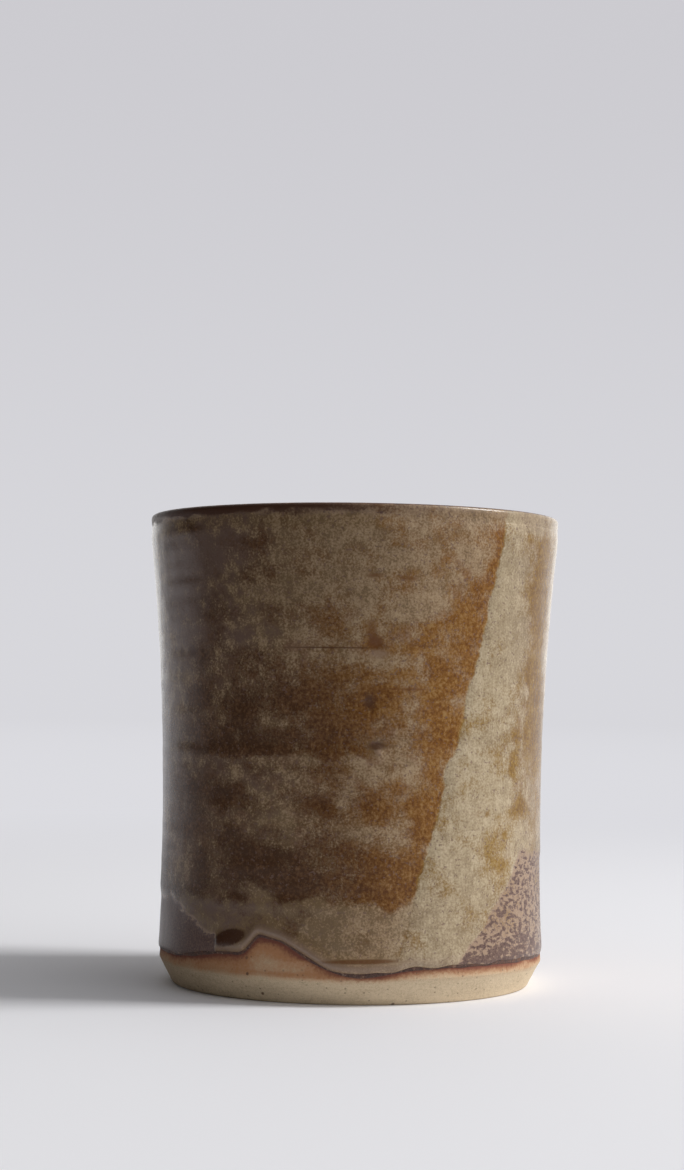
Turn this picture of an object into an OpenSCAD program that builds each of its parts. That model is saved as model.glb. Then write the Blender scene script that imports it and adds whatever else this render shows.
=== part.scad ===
// Yunomi tea cup: a thrown stoneware body with fired coats of slip and glaze.
// Millimetres, +Z up, origin on the table under the middle of the foot.
// Angles round the cup are counted from the front (-Y), positive towards +X.

/* [Cup] */
// Height of the cup over its lip
cup_height = 90; // [75:0.5:110]
// Radius of the bare clay wall at the waist, its narrowest place
waist_radius = 36.2; // [32:0.1:44]
// Height of the waist above the table
waist_height = 31; // [20:0.5:45]
// Radius of the long arc that the outside of the wall follows from foot to lip
flare_radius = 490; // [380:5:900]
// Thickness of the clay wall at the waist
waist_wall = 4.2; // [3:0.1:6]
// Thickness of the clay wall at the lip
lip_wall = 2.8; // [2:0.1:4]

/* [Foot] */
// Height of the trimmed bevel above the table
bevel_height = 4.8; // [2:0.1:8]
// How far the bevel goes in from the wall to the foot
bevel_width = 2.5; // [0.5:0.1:4]
// Width of the ring on which the cup stands
foot_ring_width = 7.4; // [3:0.1:12]
// Depth of the hollow trimmed under the foot
hollow_depth = 2.4; // [0.5:0.1:4]
// Lean of the side of that hollow
hollow_lean = 1.2; // [0.2:0.1:3]

/* [Inside] */
// Thickness of the clay floor
floor_wall = 6.1; // [4:0.1:10]
// Radius of the turn from the inside floor into the wall
turn_radius = 12; // [6:0.5:16]
// Depth of the ring that throwing leaves where the floor turns up
turn_sink = 0.3; // [0.1:0.05:0.8]

/* [Coats] */
// Thickness of the iron slip, the first coat on the outside and the lip
slip_thickness = 0.15; // [0.1:0.01:0.4]
// Thickness of the ash glaze over the slip
glaze_thickness = 0.4; // [0.2:0.01:0.8]
// Thickness of the pale pour over the ash glaze
pour_thickness = 0.2; // [0.1:0.01:0.5]
// Thickness of the liner glaze inside the cup
liner_thickness = 0.4; // [0.2:0.01:0.8]
// How far below the top of the lip the slip reaches inside
slip_reach = 3; // [2:0.1:8]
// Width of the strip of slip that shows below the ash glaze
slip_strip = 0.6; // [0.2:0.1:2]

/* [Glaze line] */
// Height of the slip's lower edge above the bevel, most of the way round
line_lift = 1.7; // [1.5:0.1:7]
// Rise of the highest notch in that edge
line_rise = 4.9; // [0:0.1:5]

/* [Pale pour] */
// Angle round the cup at which the pour faces outwards
pour_angle = 44; // [-180:1:180]
// Width of the pour at the lip
pour_lip_width = 18; // [8:0.5:26]
// Width of the pour at its foot
pour_foot_width = 15; // [8:0.5:30]
// How far the foot of the pour lies to the left of its top
pour_slant = 16; // [0:0.5:20]
// Height of the pour's foot above the edge of the ash glaze
pour_lift = 1.2; // [0.2:0.1:6]

/* [Hidden] */

// Sides of a circle, of a turned solid and of the glaze line
arc_sides = 720;
turn_sides = 240;
line_sides = 180;
// How far a cut runs past what it cuts
overrun = 1;
// Round of the lip as a share of its wall, a little over half so that it meets both faces cleanly
lip_round_share = 0.54;
// How far the turn of the floor runs past the inner face of the wall, as a share of its radius
turn_lap_share = 0.05;
// Waves of the glaze line: angle, share of line_rise, spread before and spread after, in degrees
line_wave_shares = [
    [-26, 1.00, 4.5, 13], [-37, 0.35, 14, 9], [1, -0.29, 9, 12], [75, -0.08, 20, 20],
    [112, 0.42, 12, 7], [128, -0.20, 6, 12], [165, 0.22, 18, 10], [-170, -0.24, 8, 14],
    [-128, 0.50, 8, 15], [-100, -0.12, 10, 14]];

// Height of the bare clay, the round of its lip and where that round is centred
clay_height = cup_height - slip_thickness;
lip_round = lip_wall * lip_round_share;
lip_centre_height = clay_height - lip_round;
// Centre of the outer arc, and the inner arc worked out from the two wall thicknesses
outer_centre = waist_radius + flare_radius;
inner_waist = waist_radius - waist_wall;
inner_lip = outer_radius(lip_centre_height) - lip_wall;
inner_rise = lip_centre_height - waist_height;
inner_flare_radius = (inner_rise ^ 2 + (inner_lip - inner_waist) ^ 2) / (2 * (inner_lip - inner_waist));
inner_centre = inner_waist + inner_flare_radius;
lip_centre = inner_lip + lip_wall / 2;
// Foot
bevel_radius = outer_radius(bevel_height);
foot_radius = bevel_radius - bevel_width;
hollow_radius = foot_radius - foot_ring_width;
// Inside floor and its turn into the wall
floor_height = hollow_depth + floor_wall;
turn_height = floor_height + turn_radius - turn_sink;
turn_centre = inner_radius(turn_height) - turn_radius * (1 - turn_lap_share);
// Reach of the coats
line_height = bevel_height + line_lift;
glaze_top = lip_centre_height;
liner_top = clay_height - slip_reach;
glaze_face = slip_thickness + glaze_thickness;
pour_face = glaze_face + pour_thickness;
// Room round the whole cup, for cuts
far_radius = outer_radius(cup_height) + pour_face + overrun;

// Radius of the bare clay at a height, outside and inside
function outer_radius(height) = outer_centre - sqrt(flare_radius ^ 2 - (height - waist_height) ^ 2);
function inner_radius(height) = inner_centre - sqrt(inner_flare_radius ^ 2 - (height - waist_height) ^ 2);

// Angle from a place round the cup, between half a turn back and half a turn on
function turn_from(angle, place) = (angle - place + 540) % 360 - 180;
// A bell of height one whose two sides have their own spread
function bell(offset, before, after) = exp(-(offset / (offset < 0 ? before : after)) ^ 2);
// Sum of the waves at an angle, and the height of the slip's edge there
function wave_share(angle) =
    [for (w = line_wave_shares) w[1] * bell(turn_from(angle, w[0]), w[2], w[3])]
        * [for (w = line_wave_shares) 1];
function line_at(angle) = line_height + line_rise * wave_share(angle);

// Point on a circle round the cup's axis
function on_ring(radius, angle, height) = [radius * sin(angle), -radius * cos(angle), height];

// Flat half of the cup inside the outer arc, grown by a coat
module inside_outer_arc(coat) {
    difference() {
        square([far_radius, cup_height + overrun]);
        translate([outer_centre, waist_height]) circle(flare_radius - coat, $fn = arc_sides);
    }
}

// Flat half of the cup inside the inner arc, shrunk by a coat
module inside_inner_arc(coat) {
    difference() {
        square([far_radius, cup_height + overrun]);
        translate([inner_centre, waist_height]) circle(inner_flare_radius + coat, $fn = arc_sides);
    }
}

// Flat half of the hollow: wall, turned corner and floor, shrunk by a coat
module hollow_half(coat) {
    intersection() {
        inside_inner_arc(coat);
        union() {
            translate([0, floor_height + coat]) square([turn_centre, cup_height]);
            translate([turn_centre, turn_height]) circle(turn_radius - coat, $fn = arc_sides);
            translate([0, turn_height]) square([far_radius, cup_height]);
        }
    }
}

// Flat half of everything below the round of the lip, grown by a coat
module below_lip(coat) {
    square([far_radius, lip_centre_height]);
    translate([lip_centre, lip_centre_height]) circle(lip_round + coat, $fn = arc_sides);
}

// Flat half of the cup with its lip and hollow, before the foot is trimmed, grown by a coat
module wall_half(coat) {
    difference() {
        intersection() {
            inside_outer_arc(coat);
            below_lip(coat);
        }
        hollow_half(coat);
    }
}

// Flat half of what is trimmed off at the foot: the outer bevel and the hollow underneath
module foot_cut() {
    bevel_lean = bevel_width / bevel_height;
    polygon([
        [foot_radius - bevel_lean * overrun, -overrun],
        [bevel_radius + bevel_lean * overrun, bevel_height + overrun],
        [far_radius, bevel_height + overrun],
        [far_radius, -overrun]]);
    polygon([
        [0, -overrun],
        [hollow_radius, -overrun],
        [hollow_radius, 0],
        [hollow_radius - hollow_lean, hollow_depth],
        [0, hollow_depth]]);
}

// Flat strip along the outer arc between two coats, from one height to another
module arc_strip(from_coat, to_coat, low, high) {
    intersection() {
        difference() {
            translate([outer_centre, waist_height]) circle(flare_radius - from_coat, $fn = arc_sides);
            translate([outer_centre, waist_height]) circle(flare_radius - to_coat, $fn = arc_sides);
        }
        translate([0, low]) square([far_radius, high - low]);
    }
}

// Flat cap of slip over the lip, down to where the liner starts
module lip_cap() {
    intersection() {
        difference() {
            wall_half(slip_thickness);
            wall_half(0);
        }
        translate([0, liner_top]) square([far_radius, slip_reach + overrun]);
    }
}

// Ring below the glaze line, raised by a lift, which cuts the foot of a coat
module line_skirt(lift) {
    angles = [for (i = [0 : line_sides - 1]) i * 360 / line_sides];
    points = [for (a = angles) each [
        on_ring(inner_waist, a, 0), on_ring(far_radius, a, 0),
        on_ring(far_radius, a, line_at(a) + lift), on_ring(inner_waist, a, line_at(a) + lift)]];
    faces = [for (i = [0 : line_sides - 1]) let (a = 4 * i, b = 4 * ((i + 1) % line_sides)) each [
        [a, a + 1, b + 1], [a, b + 1, b],
        [a + 1, a + 2, b + 2], [a + 1, b + 2, b + 1],
        [a + 2, a + 3, b + 3], [a + 2, b + 3, b + 2],
        [a + 3, a, b], [a + 3, b, b + 3]]];
    polyhedron(points, faces);
}

// Slanting outline of the pale pour, seen straight on
module pour_outline() {
    polygon([
        [-pour_slant, bevel_height],
        [pour_foot_width - pour_slant, bevel_height],
        [pour_lip_width, glaze_top],
        [0, glaze_top]]);
}

module clay_body() {
    color([0.76, 0.68, 0.52])
        rotate_extrude($fn = turn_sides)
            difference() {
                wall_half(0);
                foot_cut();
            }
}

module iron_slip() {
    color([0.35, 0.27, 0.27])
        difference() {
            rotate_extrude($fn = turn_sides) {
                arc_strip(0, slip_thickness, bevel_height, lip_centre_height);
                lip_cap();
            }
            line_skirt(0);
        }
}

module ash_glaze() {
    color([0.52, 0.41, 0.25])
        difference() {
            rotate_extrude($fn = turn_sides) arc_strip(slip_thickness, glaze_face, bevel_height, glaze_top);
            line_skirt(slip_strip);
        }
}

module pale_pour() {
    color([0.69, 0.63, 0.49])
        difference() {
            intersection() {
                rotate_extrude($fn = turn_sides) arc_strip(glaze_face, pour_face, bevel_height, glaze_top);
                rotate([90, 0, pour_angle]) linear_extrude(far_radius) pour_outline();
            }
            line_skirt(slip_strip + pour_lift);
        }
}

module liner_glaze() {
    color([0.60, 0.54, 0.42])
        rotate_extrude($fn = turn_sides)
            difference() {
                hollow_half(0);
                hollow_half(liner_thickness);
                translate([0, liner_top]) square([far_radius, cup_height]);
            }
}

clay_body();
iron_slip();
ash_glaze();
pale_pour();
liner_glaze();
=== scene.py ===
"""Looks of a thrown stoneware tea cup: bare clay, iron slip, ash glaze, a pale pour and a liner glaze.

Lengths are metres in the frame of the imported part: +Z is up, the origin lies on the table under the foot
and the front of the cup faces -Y. Places on the wall are given as a turn round the cup, in degrees from the
front and positive towards +X, and a height in millimetres, as a potter would mark them.
"""

import logging
from dataclasses import dataclass
from enum import Enum

import bpy
import numpy as np
from mathutils import Matrix, Vector


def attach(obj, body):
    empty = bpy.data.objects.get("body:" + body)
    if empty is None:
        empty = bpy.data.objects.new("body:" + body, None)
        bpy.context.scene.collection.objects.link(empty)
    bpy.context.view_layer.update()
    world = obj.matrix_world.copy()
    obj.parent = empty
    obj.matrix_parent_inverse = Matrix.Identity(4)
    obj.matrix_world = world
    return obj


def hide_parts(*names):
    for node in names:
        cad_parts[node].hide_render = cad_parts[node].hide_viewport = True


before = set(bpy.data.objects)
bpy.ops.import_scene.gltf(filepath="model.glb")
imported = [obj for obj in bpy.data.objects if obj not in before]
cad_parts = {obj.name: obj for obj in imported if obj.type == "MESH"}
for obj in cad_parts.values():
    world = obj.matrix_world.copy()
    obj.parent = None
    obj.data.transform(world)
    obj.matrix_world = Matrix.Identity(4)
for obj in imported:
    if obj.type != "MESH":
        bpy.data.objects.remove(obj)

log = logging.getLogger("tea_cup")
Array = np.ndarray
Colour = tuple[float, float, float]
Socket = bpy.types.NodeSocket
Shades = tuple[Colour, Colour, Colour]

MM = 0.001
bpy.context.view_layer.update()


def ramp(value: Array, low: float | Array, high: float | Array) -> Array:
    """Eases from 0 at low to 1 at high: with s the clipped share, three s squared less two s cubed.

    Args:
        value: the values to ease.
        low: where the ramp starts.
        high: where the ramp ends.

    Returns:
        The eased shares, from 0 to 1.
    """
    share = np.clip((value - low) / (high - low), 0.0, 1.0)
    return share * share * (3.0 - 2.0 * share)


def bell(offset: Array, before: float | Array, after: float | Array) -> Array:
    """Bell of height one, e to minus the square of offset over spread, with a spread for each side.

    Args:
        offset: distance from the bell's middle.
        before: spread where the offset is negative.
        after: spread where the offset is positive.

    Returns:
        The bell's height at each offset.
    """
    return np.exp(-np.square(offset / np.where(offset < 0.0, before, after)))


def turn_from(turn: Array, place: float | Array) -> Array:
    """Degrees from a place round the cup, between half a turn back and half a turn on.

    Args:
        turn: turns round the cup, in degrees.
        place: the turn to count from.

    Returns:
        The signed difference in degrees.
    """
    return (turn - place + 540.0) % 360.0 - 180.0


@dataclass(frozen=True)
class Mottle:
    """Smooth uneven tone round the cup: random values on a lattice that closes on itself, eased between.

    Attributes:
        cells: lattice cells round the cup.
        step: height of a lattice cell, in millimetres.
        seed: start of the random row.
    """

    cells: int
    step: float
    seed: int

    def at(self, turn: Array, rise: Array) -> Array:
        """Value at places on the wall: the four lattice values round a place, blended by smoothstep shares.

        Args:
            turn: turns round the cup, in degrees.
            rise: heights, in millimetres.

        Returns:
            Values from -1 to 1.
        """
        rows = int(120.0 / self.step) + 3
        lattice = np.random.default_rng(self.seed).uniform(-1.0, 1.0, (rows, self.cells))
        across = (turn / 360.0) % 1.0 * self.cells
        up = np.clip(rise / self.step + 1.0, 0.0, rows - 2.001)
        column = np.floor(across).astype(int)
        row = np.floor(up).astype(int)
        share_across = ramp(across - column, 0.0, 1.0)
        share_up = ramp(up - row, 0.0, 1.0)
        left = column % self.cells
        right = (column + 1) % self.cells
        low = lattice[row, left] * (1.0 - share_across) + lattice[row, right] * share_across
        high = lattice[row + 1, left] * (1.0 - share_across) + lattice[row + 1, right] * share_across
        return low * (1.0 - share_up) + high * share_up

    def level(self, turn: Array) -> Array:
        """Values round the cup at one height, for edges that run round it."""
        return self.at(turn, np.zeros_like(turn))

    def column(self, rise: Array) -> Array:
        """Values up the wall at one turn, for edges that run up it."""
        return self.at(np.zeros_like(rise), rise)


@dataclass(frozen=True)
class Mark:
    """Soft mark on the wall, a bell across and up.

    Attributes:
        turn: middle of the mark, in degrees from the front.
        rise: height of its middle, in millimetres.
        across: half width, in degrees.
        up: half height, in millimetres.
        strength: what it adds at its middle.
        slope: how far it climbs, in millimetres per degree.
    """

    turn: float
    rise: float
    across: float
    up: float
    strength: float
    slope: float = 0.0

    def at(self, turn: Array, rise: Array, edge: int = 1) -> Array:
        """Strength times e to minus the squared distance, in half widths, raised to edge.

        Args:
            turn: turns round the cup, in degrees.
            rise: heights, in millimetres.
            edge: 1 for a soft mark, and more for a crisper edge.

        Returns:
            What the mark adds at each place.
        """
        aside = turn_from(turn, self.turn)
        reach = np.square(aside / self.across) + np.square((rise - self.rise - self.slope * aside) / self.up)
        return self.strength * np.exp(-np.power(reach, edge))


def marked(marks: tuple[Mark, ...], turn: Array, rise: Array, edge: int = 1) -> Array:
    """Sum of a set of marks.

    Args:
        marks: the marks.
        turn: turns round the cup, in degrees.
        rise: heights, in millimetres.
        edge: crispness of the marks.

    Returns:
        The summed strengths.
    """
    return sum((mark.at(turn, rise, edge) for mark in marks), np.zeros_like(turn + rise))


@dataclass(frozen=True)
class CupForm:
    """Turned form of the cup and the reach of its coats, in millimetres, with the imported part's sizes."""

    height: float = 90.0
    waist_radius: float = 36.2
    waist_height: float = 31.0
    flare_radius: float = 490.0
    waist_wall: float = 4.2
    lip_wall: float = 2.8
    lip_round: float = 1.9
    lip_square: float = 4.5
    lip_low: float = 0.08
    bevel_height: float = 4.8
    bevel_width: float = 2.5
    ring_width: float = 7.4
    hollow_depth: float = 2.4
    hollow_lean: float = 1.2
    floor_wall: float = 6.1
    turn_radius: float = 12.0
    slip: float = 0.15
    glaze: float = 0.4
    pour: float = 0.2
    liner: float = 0.4
    slip_reach: float = 3.0
    slip_strip: float = 0.6
    line_lift: float = 1.7
    line_rise: float = 4.9
    line_waves: tuple[tuple[float, float, float, float], ...] = (
        (-26, 1.00, 4.5, 13), (-37, 0.35, 14, 9), (1, -0.29, 9, 12), (75, -0.08, 20, 20),
        (112, 0.42, 12, 7), (128, -0.20, 6, 12), (165, 0.22, 18, 10), (-170, -0.24, 8, 14),
        (-128, 0.50, 8, 15), (-100, -0.12, 10, 14), (-18.5, 0.10, 4, 6))
    rings: tuple[tuple[float, float, float, float], ...] = (
        (17.4, 0.07, 0.9, 1.4), (20.5, -0.05, 2.2, 2.2), (28.6, -0.04, 1.0, 1.4), (31.5, 0.04, 1.4, 1.8),
        (36.4, -0.06, 1.3, 1.6), (40.6, 0.06, 1.8, 1.4), (44.0, 0.05, 0.8, 1.1), (47.2, -0.09, 1.6, 2.0),
        (54.2, -0.06, 1.5, 1.6), (57.0, 0.04, 0.8, 1.1), (63.9, -0.05, 0.7, 1.4), (70.5, 0.05, 2.0, 2.0),
        (75.9, 0.04, 0.8, 1.0), (77.3, -0.03, 0.9, 1.3), (82.5, 0.04, 1.6, 1.6))

    @property
    def outer_centre(self) -> float:
        """Distance from the axis to the centre of the outer arc."""
        return self.waist_radius + self.flare_radius

    @property
    def lip_foot(self) -> float:
        """Height at which the round of the lip starts."""
        return self.height - self.slip - self.lip_round

    @property
    def floor_height(self) -> float:
        """Height of the inside floor."""
        return self.hollow_depth + self.floor_wall

    @property
    def liner_top(self) -> float:
        """Height at which the liner glaze ends under the slip of the lip."""
        return self.height - self.slip - self.slip_reach

    @property
    def foot_radius(self) -> float:
        """Radius of the foot on the table."""
        return float(self.outer(np.array(self.bevel_height))) - self.bevel_width

    def outer(self, rise: Array) -> Array:
        """Radius of the clay wall: the arc's centre less the root of radius squared less height squared."""
        return self.outer_centre - np.sqrt(self.flare_radius ** 2 - np.square(rise - self.waist_height))

    def inner(self, rise: Array) -> Array:
        """Radius of the inner face, an arc through the waist's wall and the lip's wall.

        Args:
            rise: heights, in millimetres.

        Returns:
            Radii, in millimetres.
        """
        waist = self.waist_radius - self.waist_wall
        opening = float(self.outer(np.array(self.lip_foot))) - self.lip_wall - waist
        climb = self.lip_foot - self.waist_height
        bend = (climb ** 2 + opening ** 2) / (2.0 * opening)
        return waist + bend - np.sqrt(bend ** 2 - np.square(rise - self.waist_height))

    def relief(self, turn: Array, rise: Array) -> Array:
        """Throwing marks: a bell for each ring, uneven round the cup, a fine spiral and a slight oval.

        Args:
            turn: turns round the cup, in degrees.
            rise: heights, in millimetres.

        Returns:
            How far the wall stands out, in millimetres.
        """
        sway = 0.7 * Mottle(7, 18.0, 11).at(turn, rise) + 0.35 * Mottle(26, 30.0, 13).at(turn, rise)
        bells = (depth * bell(rise - ring - sway, below, above) for ring, depth, below, above in self.rings)
        rings = sum(bells, np.zeros_like(turn + rise))
        spiral = 0.010 * np.sin(2.0 * np.pi * rise / 3.4 - np.radians(turn))
        oval = 0.07 * np.cos(np.radians(2.0 * turn + 40.0)) * rise / self.height
        return rings * (0.55 + 0.45 * Mottle(13, 30.0, 12).at(turn, rise)) + spiral + oval

    def line(self, turn: Array) -> Array:
        """Height of the slip's lower edge: its usual height plus the rise times a sum of two-sided bells."""
        bells = (share * bell(turn_from(turn, place), before, after)
                 for place, share, before, after in self.line_waves)
        return self.bevel_height + self.line_lift + self.line_rise * sum(bells, np.zeros_like(turn))

    def clay(self, turn: Array, rise: Array) -> Array:
        """Radius of the thrown wall with its throwing marks."""
        return self.outer(rise) + self.relief(turn, rise)

    def lip(self, turn: Array, arc: Array, coat: float | Array) -> tuple[Array, Array]:
        """Lip of the slip and a coat over it: a squared half ellipse from the outer wall to the inner.

        With n the squareness, it is half the width times the cosine to the power of two over n, and the
        height times the sine to the same power. The outer half goes on flaring with the wall.

        Args:
            turn: turns round the cup, in degrees.
            arc: angle over the lip, from 0 at the outside to 180 inside, in degrees.
            coat: thickness laid over the slip, in millimetres.

        Returns:
            Radii and heights in millimetres.
        """
        foot = np.full_like(turn, self.lip_foot)
        outside = self.clay(turn, foot) + self.slip
        inside = self.inner(foot) - self.slip
        sway = 0.05 * Mottle(11, 30.0, 33).level(turn)
        angle = np.radians(arc)
        power = 2.0 / self.lip_square
        aside = np.sign(np.cos(angle)) * np.power(np.abs(np.cos(angle)), power)
        up = (self.lip_round + self.slip + sway - self.lip_low + coat) * np.power(np.sin(angle), power)
        flare = (self.lip_foot - self.waist_height) / self.flare_radius
        radius = 0.5 * (outside + inside) + (0.5 * (outside - inside) + coat) * aside
        return radius + flare * up * np.maximum(aside, 0.0), self.lip_foot + up


class Ends(Enum):
    """How the rows of a turned surface close."""

    LOOP = "the last row joins the first"
    POLES = "the first and last rows are single points on the axis"
    PILLOW = "the second half of the rows is the back of the first, and both share their border"


@dataclass
class Surface:
    """Grid of points with named values, rows along a profile and columns round the cup.

    Attributes:
        points: places in metres, rows by columns by three.
        fields: one value per point under each name.
        ends: how the rows close.
        weights: how much of the bake map each row step takes.
    """

    points: Array
    fields: dict[str, Array]
    ends: Ends
    weights: Array

    def corners(self) -> tuple[Array, Array, Array]:
        """Quads of the grid as flat point numbers, with the row and column that each corner comes from.

        Returns:
            Point numbers, rows and columns, each faces by four, with columns and rows counted unwrapped.
        """
        rows, columns = self.points.shape[:2]
        pillow = self.ends is Ends.PILLOW
        if pillow:
            rows //= 2
        row_steps = rows if self.ends is Ends.LOOP else rows - 1
        column_steps = columns - 1 if pillow else columns
        row, column = np.meshgrid(np.arange(row_steps), np.arange(column_steps), indexing="ij")
        row = np.stack([row, row, row + 1, row + 1], axis=-1).reshape(-1, 4)
        column = np.stack([column, column + 1, column + 1, column], axis=-1).reshape(-1, 4)
        number = np.arange(rows * columns).reshape(rows, columns)
        front = number[row % rows, column % columns]
        if not pillow:
            return front, row, column
        back = number + rows * columns
        back[[0, -1], :] = number[[0, -1], :]
        back[:, [0, -1]] = number[:, [0, -1]]
        behind = back[row, column][:, ::-1]
        return (np.concatenate([front, behind]), np.concatenate([row, (row + rows)[:, ::-1]]),
                np.concatenate([column, column[:, ::-1]]))

    def bake_places(self, row: Array, column: Array) -> Array:
        """Bake map: the way along the profile by its weights, and the turn in two halves, one over the other.

        Args:
            row: rows of the face corners.
            column: columns of the face corners.

        Returns:
            Two map coordinates for each corner.
        """
        along = np.concatenate([[0.0], np.cumsum(self.weights)])
        along = along / along[-1]
        columns = self.points.shape[1]
        if self.ends is Ends.PILLOW:
            return np.stack([column / (columns - 1), along[row]], axis=-1)
        half = columns // 2
        which = (column[:, :1] // half).clip(0, 1)
        return np.stack([(column - which * half) / half, 0.5 * which + 0.495 * along[row]], axis=-1)

    def build(self, name: str) -> bpy.types.Object:
        """Makes the mesh: quads between the rows, with each pole's row merged to one point.

        Args:
            name: the piece's name.

        Returns:
            The new object, smooth shaded, at the origin.
        """
        corners, row, column = self.corners()
        places = self.bake_places(row, column)
        count = np.full(len(corners), 4)
        rows, columns = self.points.shape[:2]
        keep = np.ones((len(corners), 4), bool)
        if self.ends is Ends.POLES:
            corners[corners < columns] = 0
            corners[corners >= (rows - 1) * columns] = (rows - 1) * columns
            keep[:columns, 1] = False
            keep[-columns:, 3] = False
            count = keep.sum(axis=1)
        used, flat = np.unique(corners[keep], return_inverse=True)
        mesh = bpy.data.meshes.new(name)
        mesh.vertices.add(len(used))
        mesh.vertices.foreach_set("co", self.points.reshape(-1, 3)[used].astype(np.float32).ravel())
        mesh.loops.add(len(flat))
        mesh.loops.foreach_set("vertex_index", flat.astype(np.int32).ravel())
        mesh.polygons.add(len(count))
        mesh.polygons.foreach_set("loop_start", np.concatenate([[0], np.cumsum(count)[:-1]]).astype(np.int32))
        mesh.update(calc_edges=True)
        mesh.shade_smooth()
        for label, values in self.fields.items():
            layer = mesh.attributes.new(label, "FLOAT", "POINT")
            layer.data.foreach_set("value", values.reshape(-1)[used].astype(np.float32))
        chart = mesh.uv_layers.new(name="OFBake")
        chart.data.foreach_set("uv", places[keep].astype(np.float32).ravel())
        piece = bpy.data.objects.new(name, mesh)
        bpy.context.scene.collection.objects.link(piece)
        return piece


def round_cup(turn: Array, radius: Array, rise: Array) -> Array:
    """Points round the axis: radius times sine of the turn, minus radius times its cosine, and the height.

    Args:
        turn: turns, in degrees.
        radius: radii, in millimetres.
        rise: heights, in millimetres.

    Returns:
        Points in metres, with a last axis of three.
    """
    radius, rise, turn = np.broadcast_arrays(radius, rise, turn)
    angle = np.radians(turn)
    return np.stack([radius * np.sin(angle), -radius * np.cos(angle), rise], axis=-1) * MM


def columns_round(count: int) -> Array:
    """Turns of the columns, in degrees, from the left side round by the front to the back."""
    return (-90.0 + 360.0 * np.arange(count) / count)[None, :]


def shares(count: int) -> Array:
    """Even shares from 0 to 1 as a column, one for each row of a surface."""
    return np.linspace(0.0, 1.0, count)[:, None]


def rounded_path(corners: list[tuple[float, float, float]], steps: int) -> Array:
    """Straight path whose corners are turned off by circles.

    At each corner of round r, the circle touches both sides at r over the tangent of half the angle between
    them, and its points are blended between the two touching points by a quadratic curve.

    Args:
        corners: radius, height and round of each corner, in millimetres.
        steps: points on each round.

    Returns:
        Radii and heights along the path, points by two.
    """
    places = np.array([corner[:2] for corner in corners])
    pieces = [places[:1]]
    share = np.linspace(0.0, 1.0, steps)[:, None]
    for before, here, after, (_, _, size) in zip(places, places[1:], places[2:], corners[1:]):
        back = (before - here) / np.linalg.norm(before - here)
        ahead = (after - here) / np.linalg.norm(after - here)
        half = 0.5 * np.arccos(np.clip(back @ ahead, -1.0, 1.0))
        reach = size / np.tan(half)
        start = here + back * reach
        end = here + ahead * reach
        pieces.append(start * (1 - share) ** 2 + 2 * here * share * (1 - share) + end * share ** 2)
    pieces.append(places[-1:])
    return np.concatenate(pieces)


@dataclass(frozen=True)
class Dab:
    """Small crisp mark on the outside of the wall, drawn by the finish.

    Attributes:
        turn: middle of the mark, in degrees from the front.
        rise: height of its middle, in millimetres.
        across: half width, in millimetres.
        up: half height, in millimetres.
        colour: what it is painted with.
        share: how much of it covers.
        tilt: how far its right end is raised, in degrees.
        soft: softness of the border, in half sizes.
        ragged: how much noise roughens the border.
        radius: of the wall there, in millimetres.
        deep: half depth through the wall, in millimetres.
    """

    turn: float
    rise: float
    across: float
    up: float
    colour: Colour
    share: float = 0.8
    tilt: float = 0.0
    soft: float = 0.35
    ragged: float = 1.6
    radius: float = 37.2
    deep: float = 2.4


@dataclass(frozen=True)
class Grain:
    """Size and character of a noise.

    Attributes:
        size: of a feature, in millimetres.
        detail: how many finer layers it has.
        rough: how strong the finer layers are.
        tall: how much shorter than wide the features are.
    """

    size: float
    detail: float = 2.0
    rough: float = 0.5
    tall: float = 1.0


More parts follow.
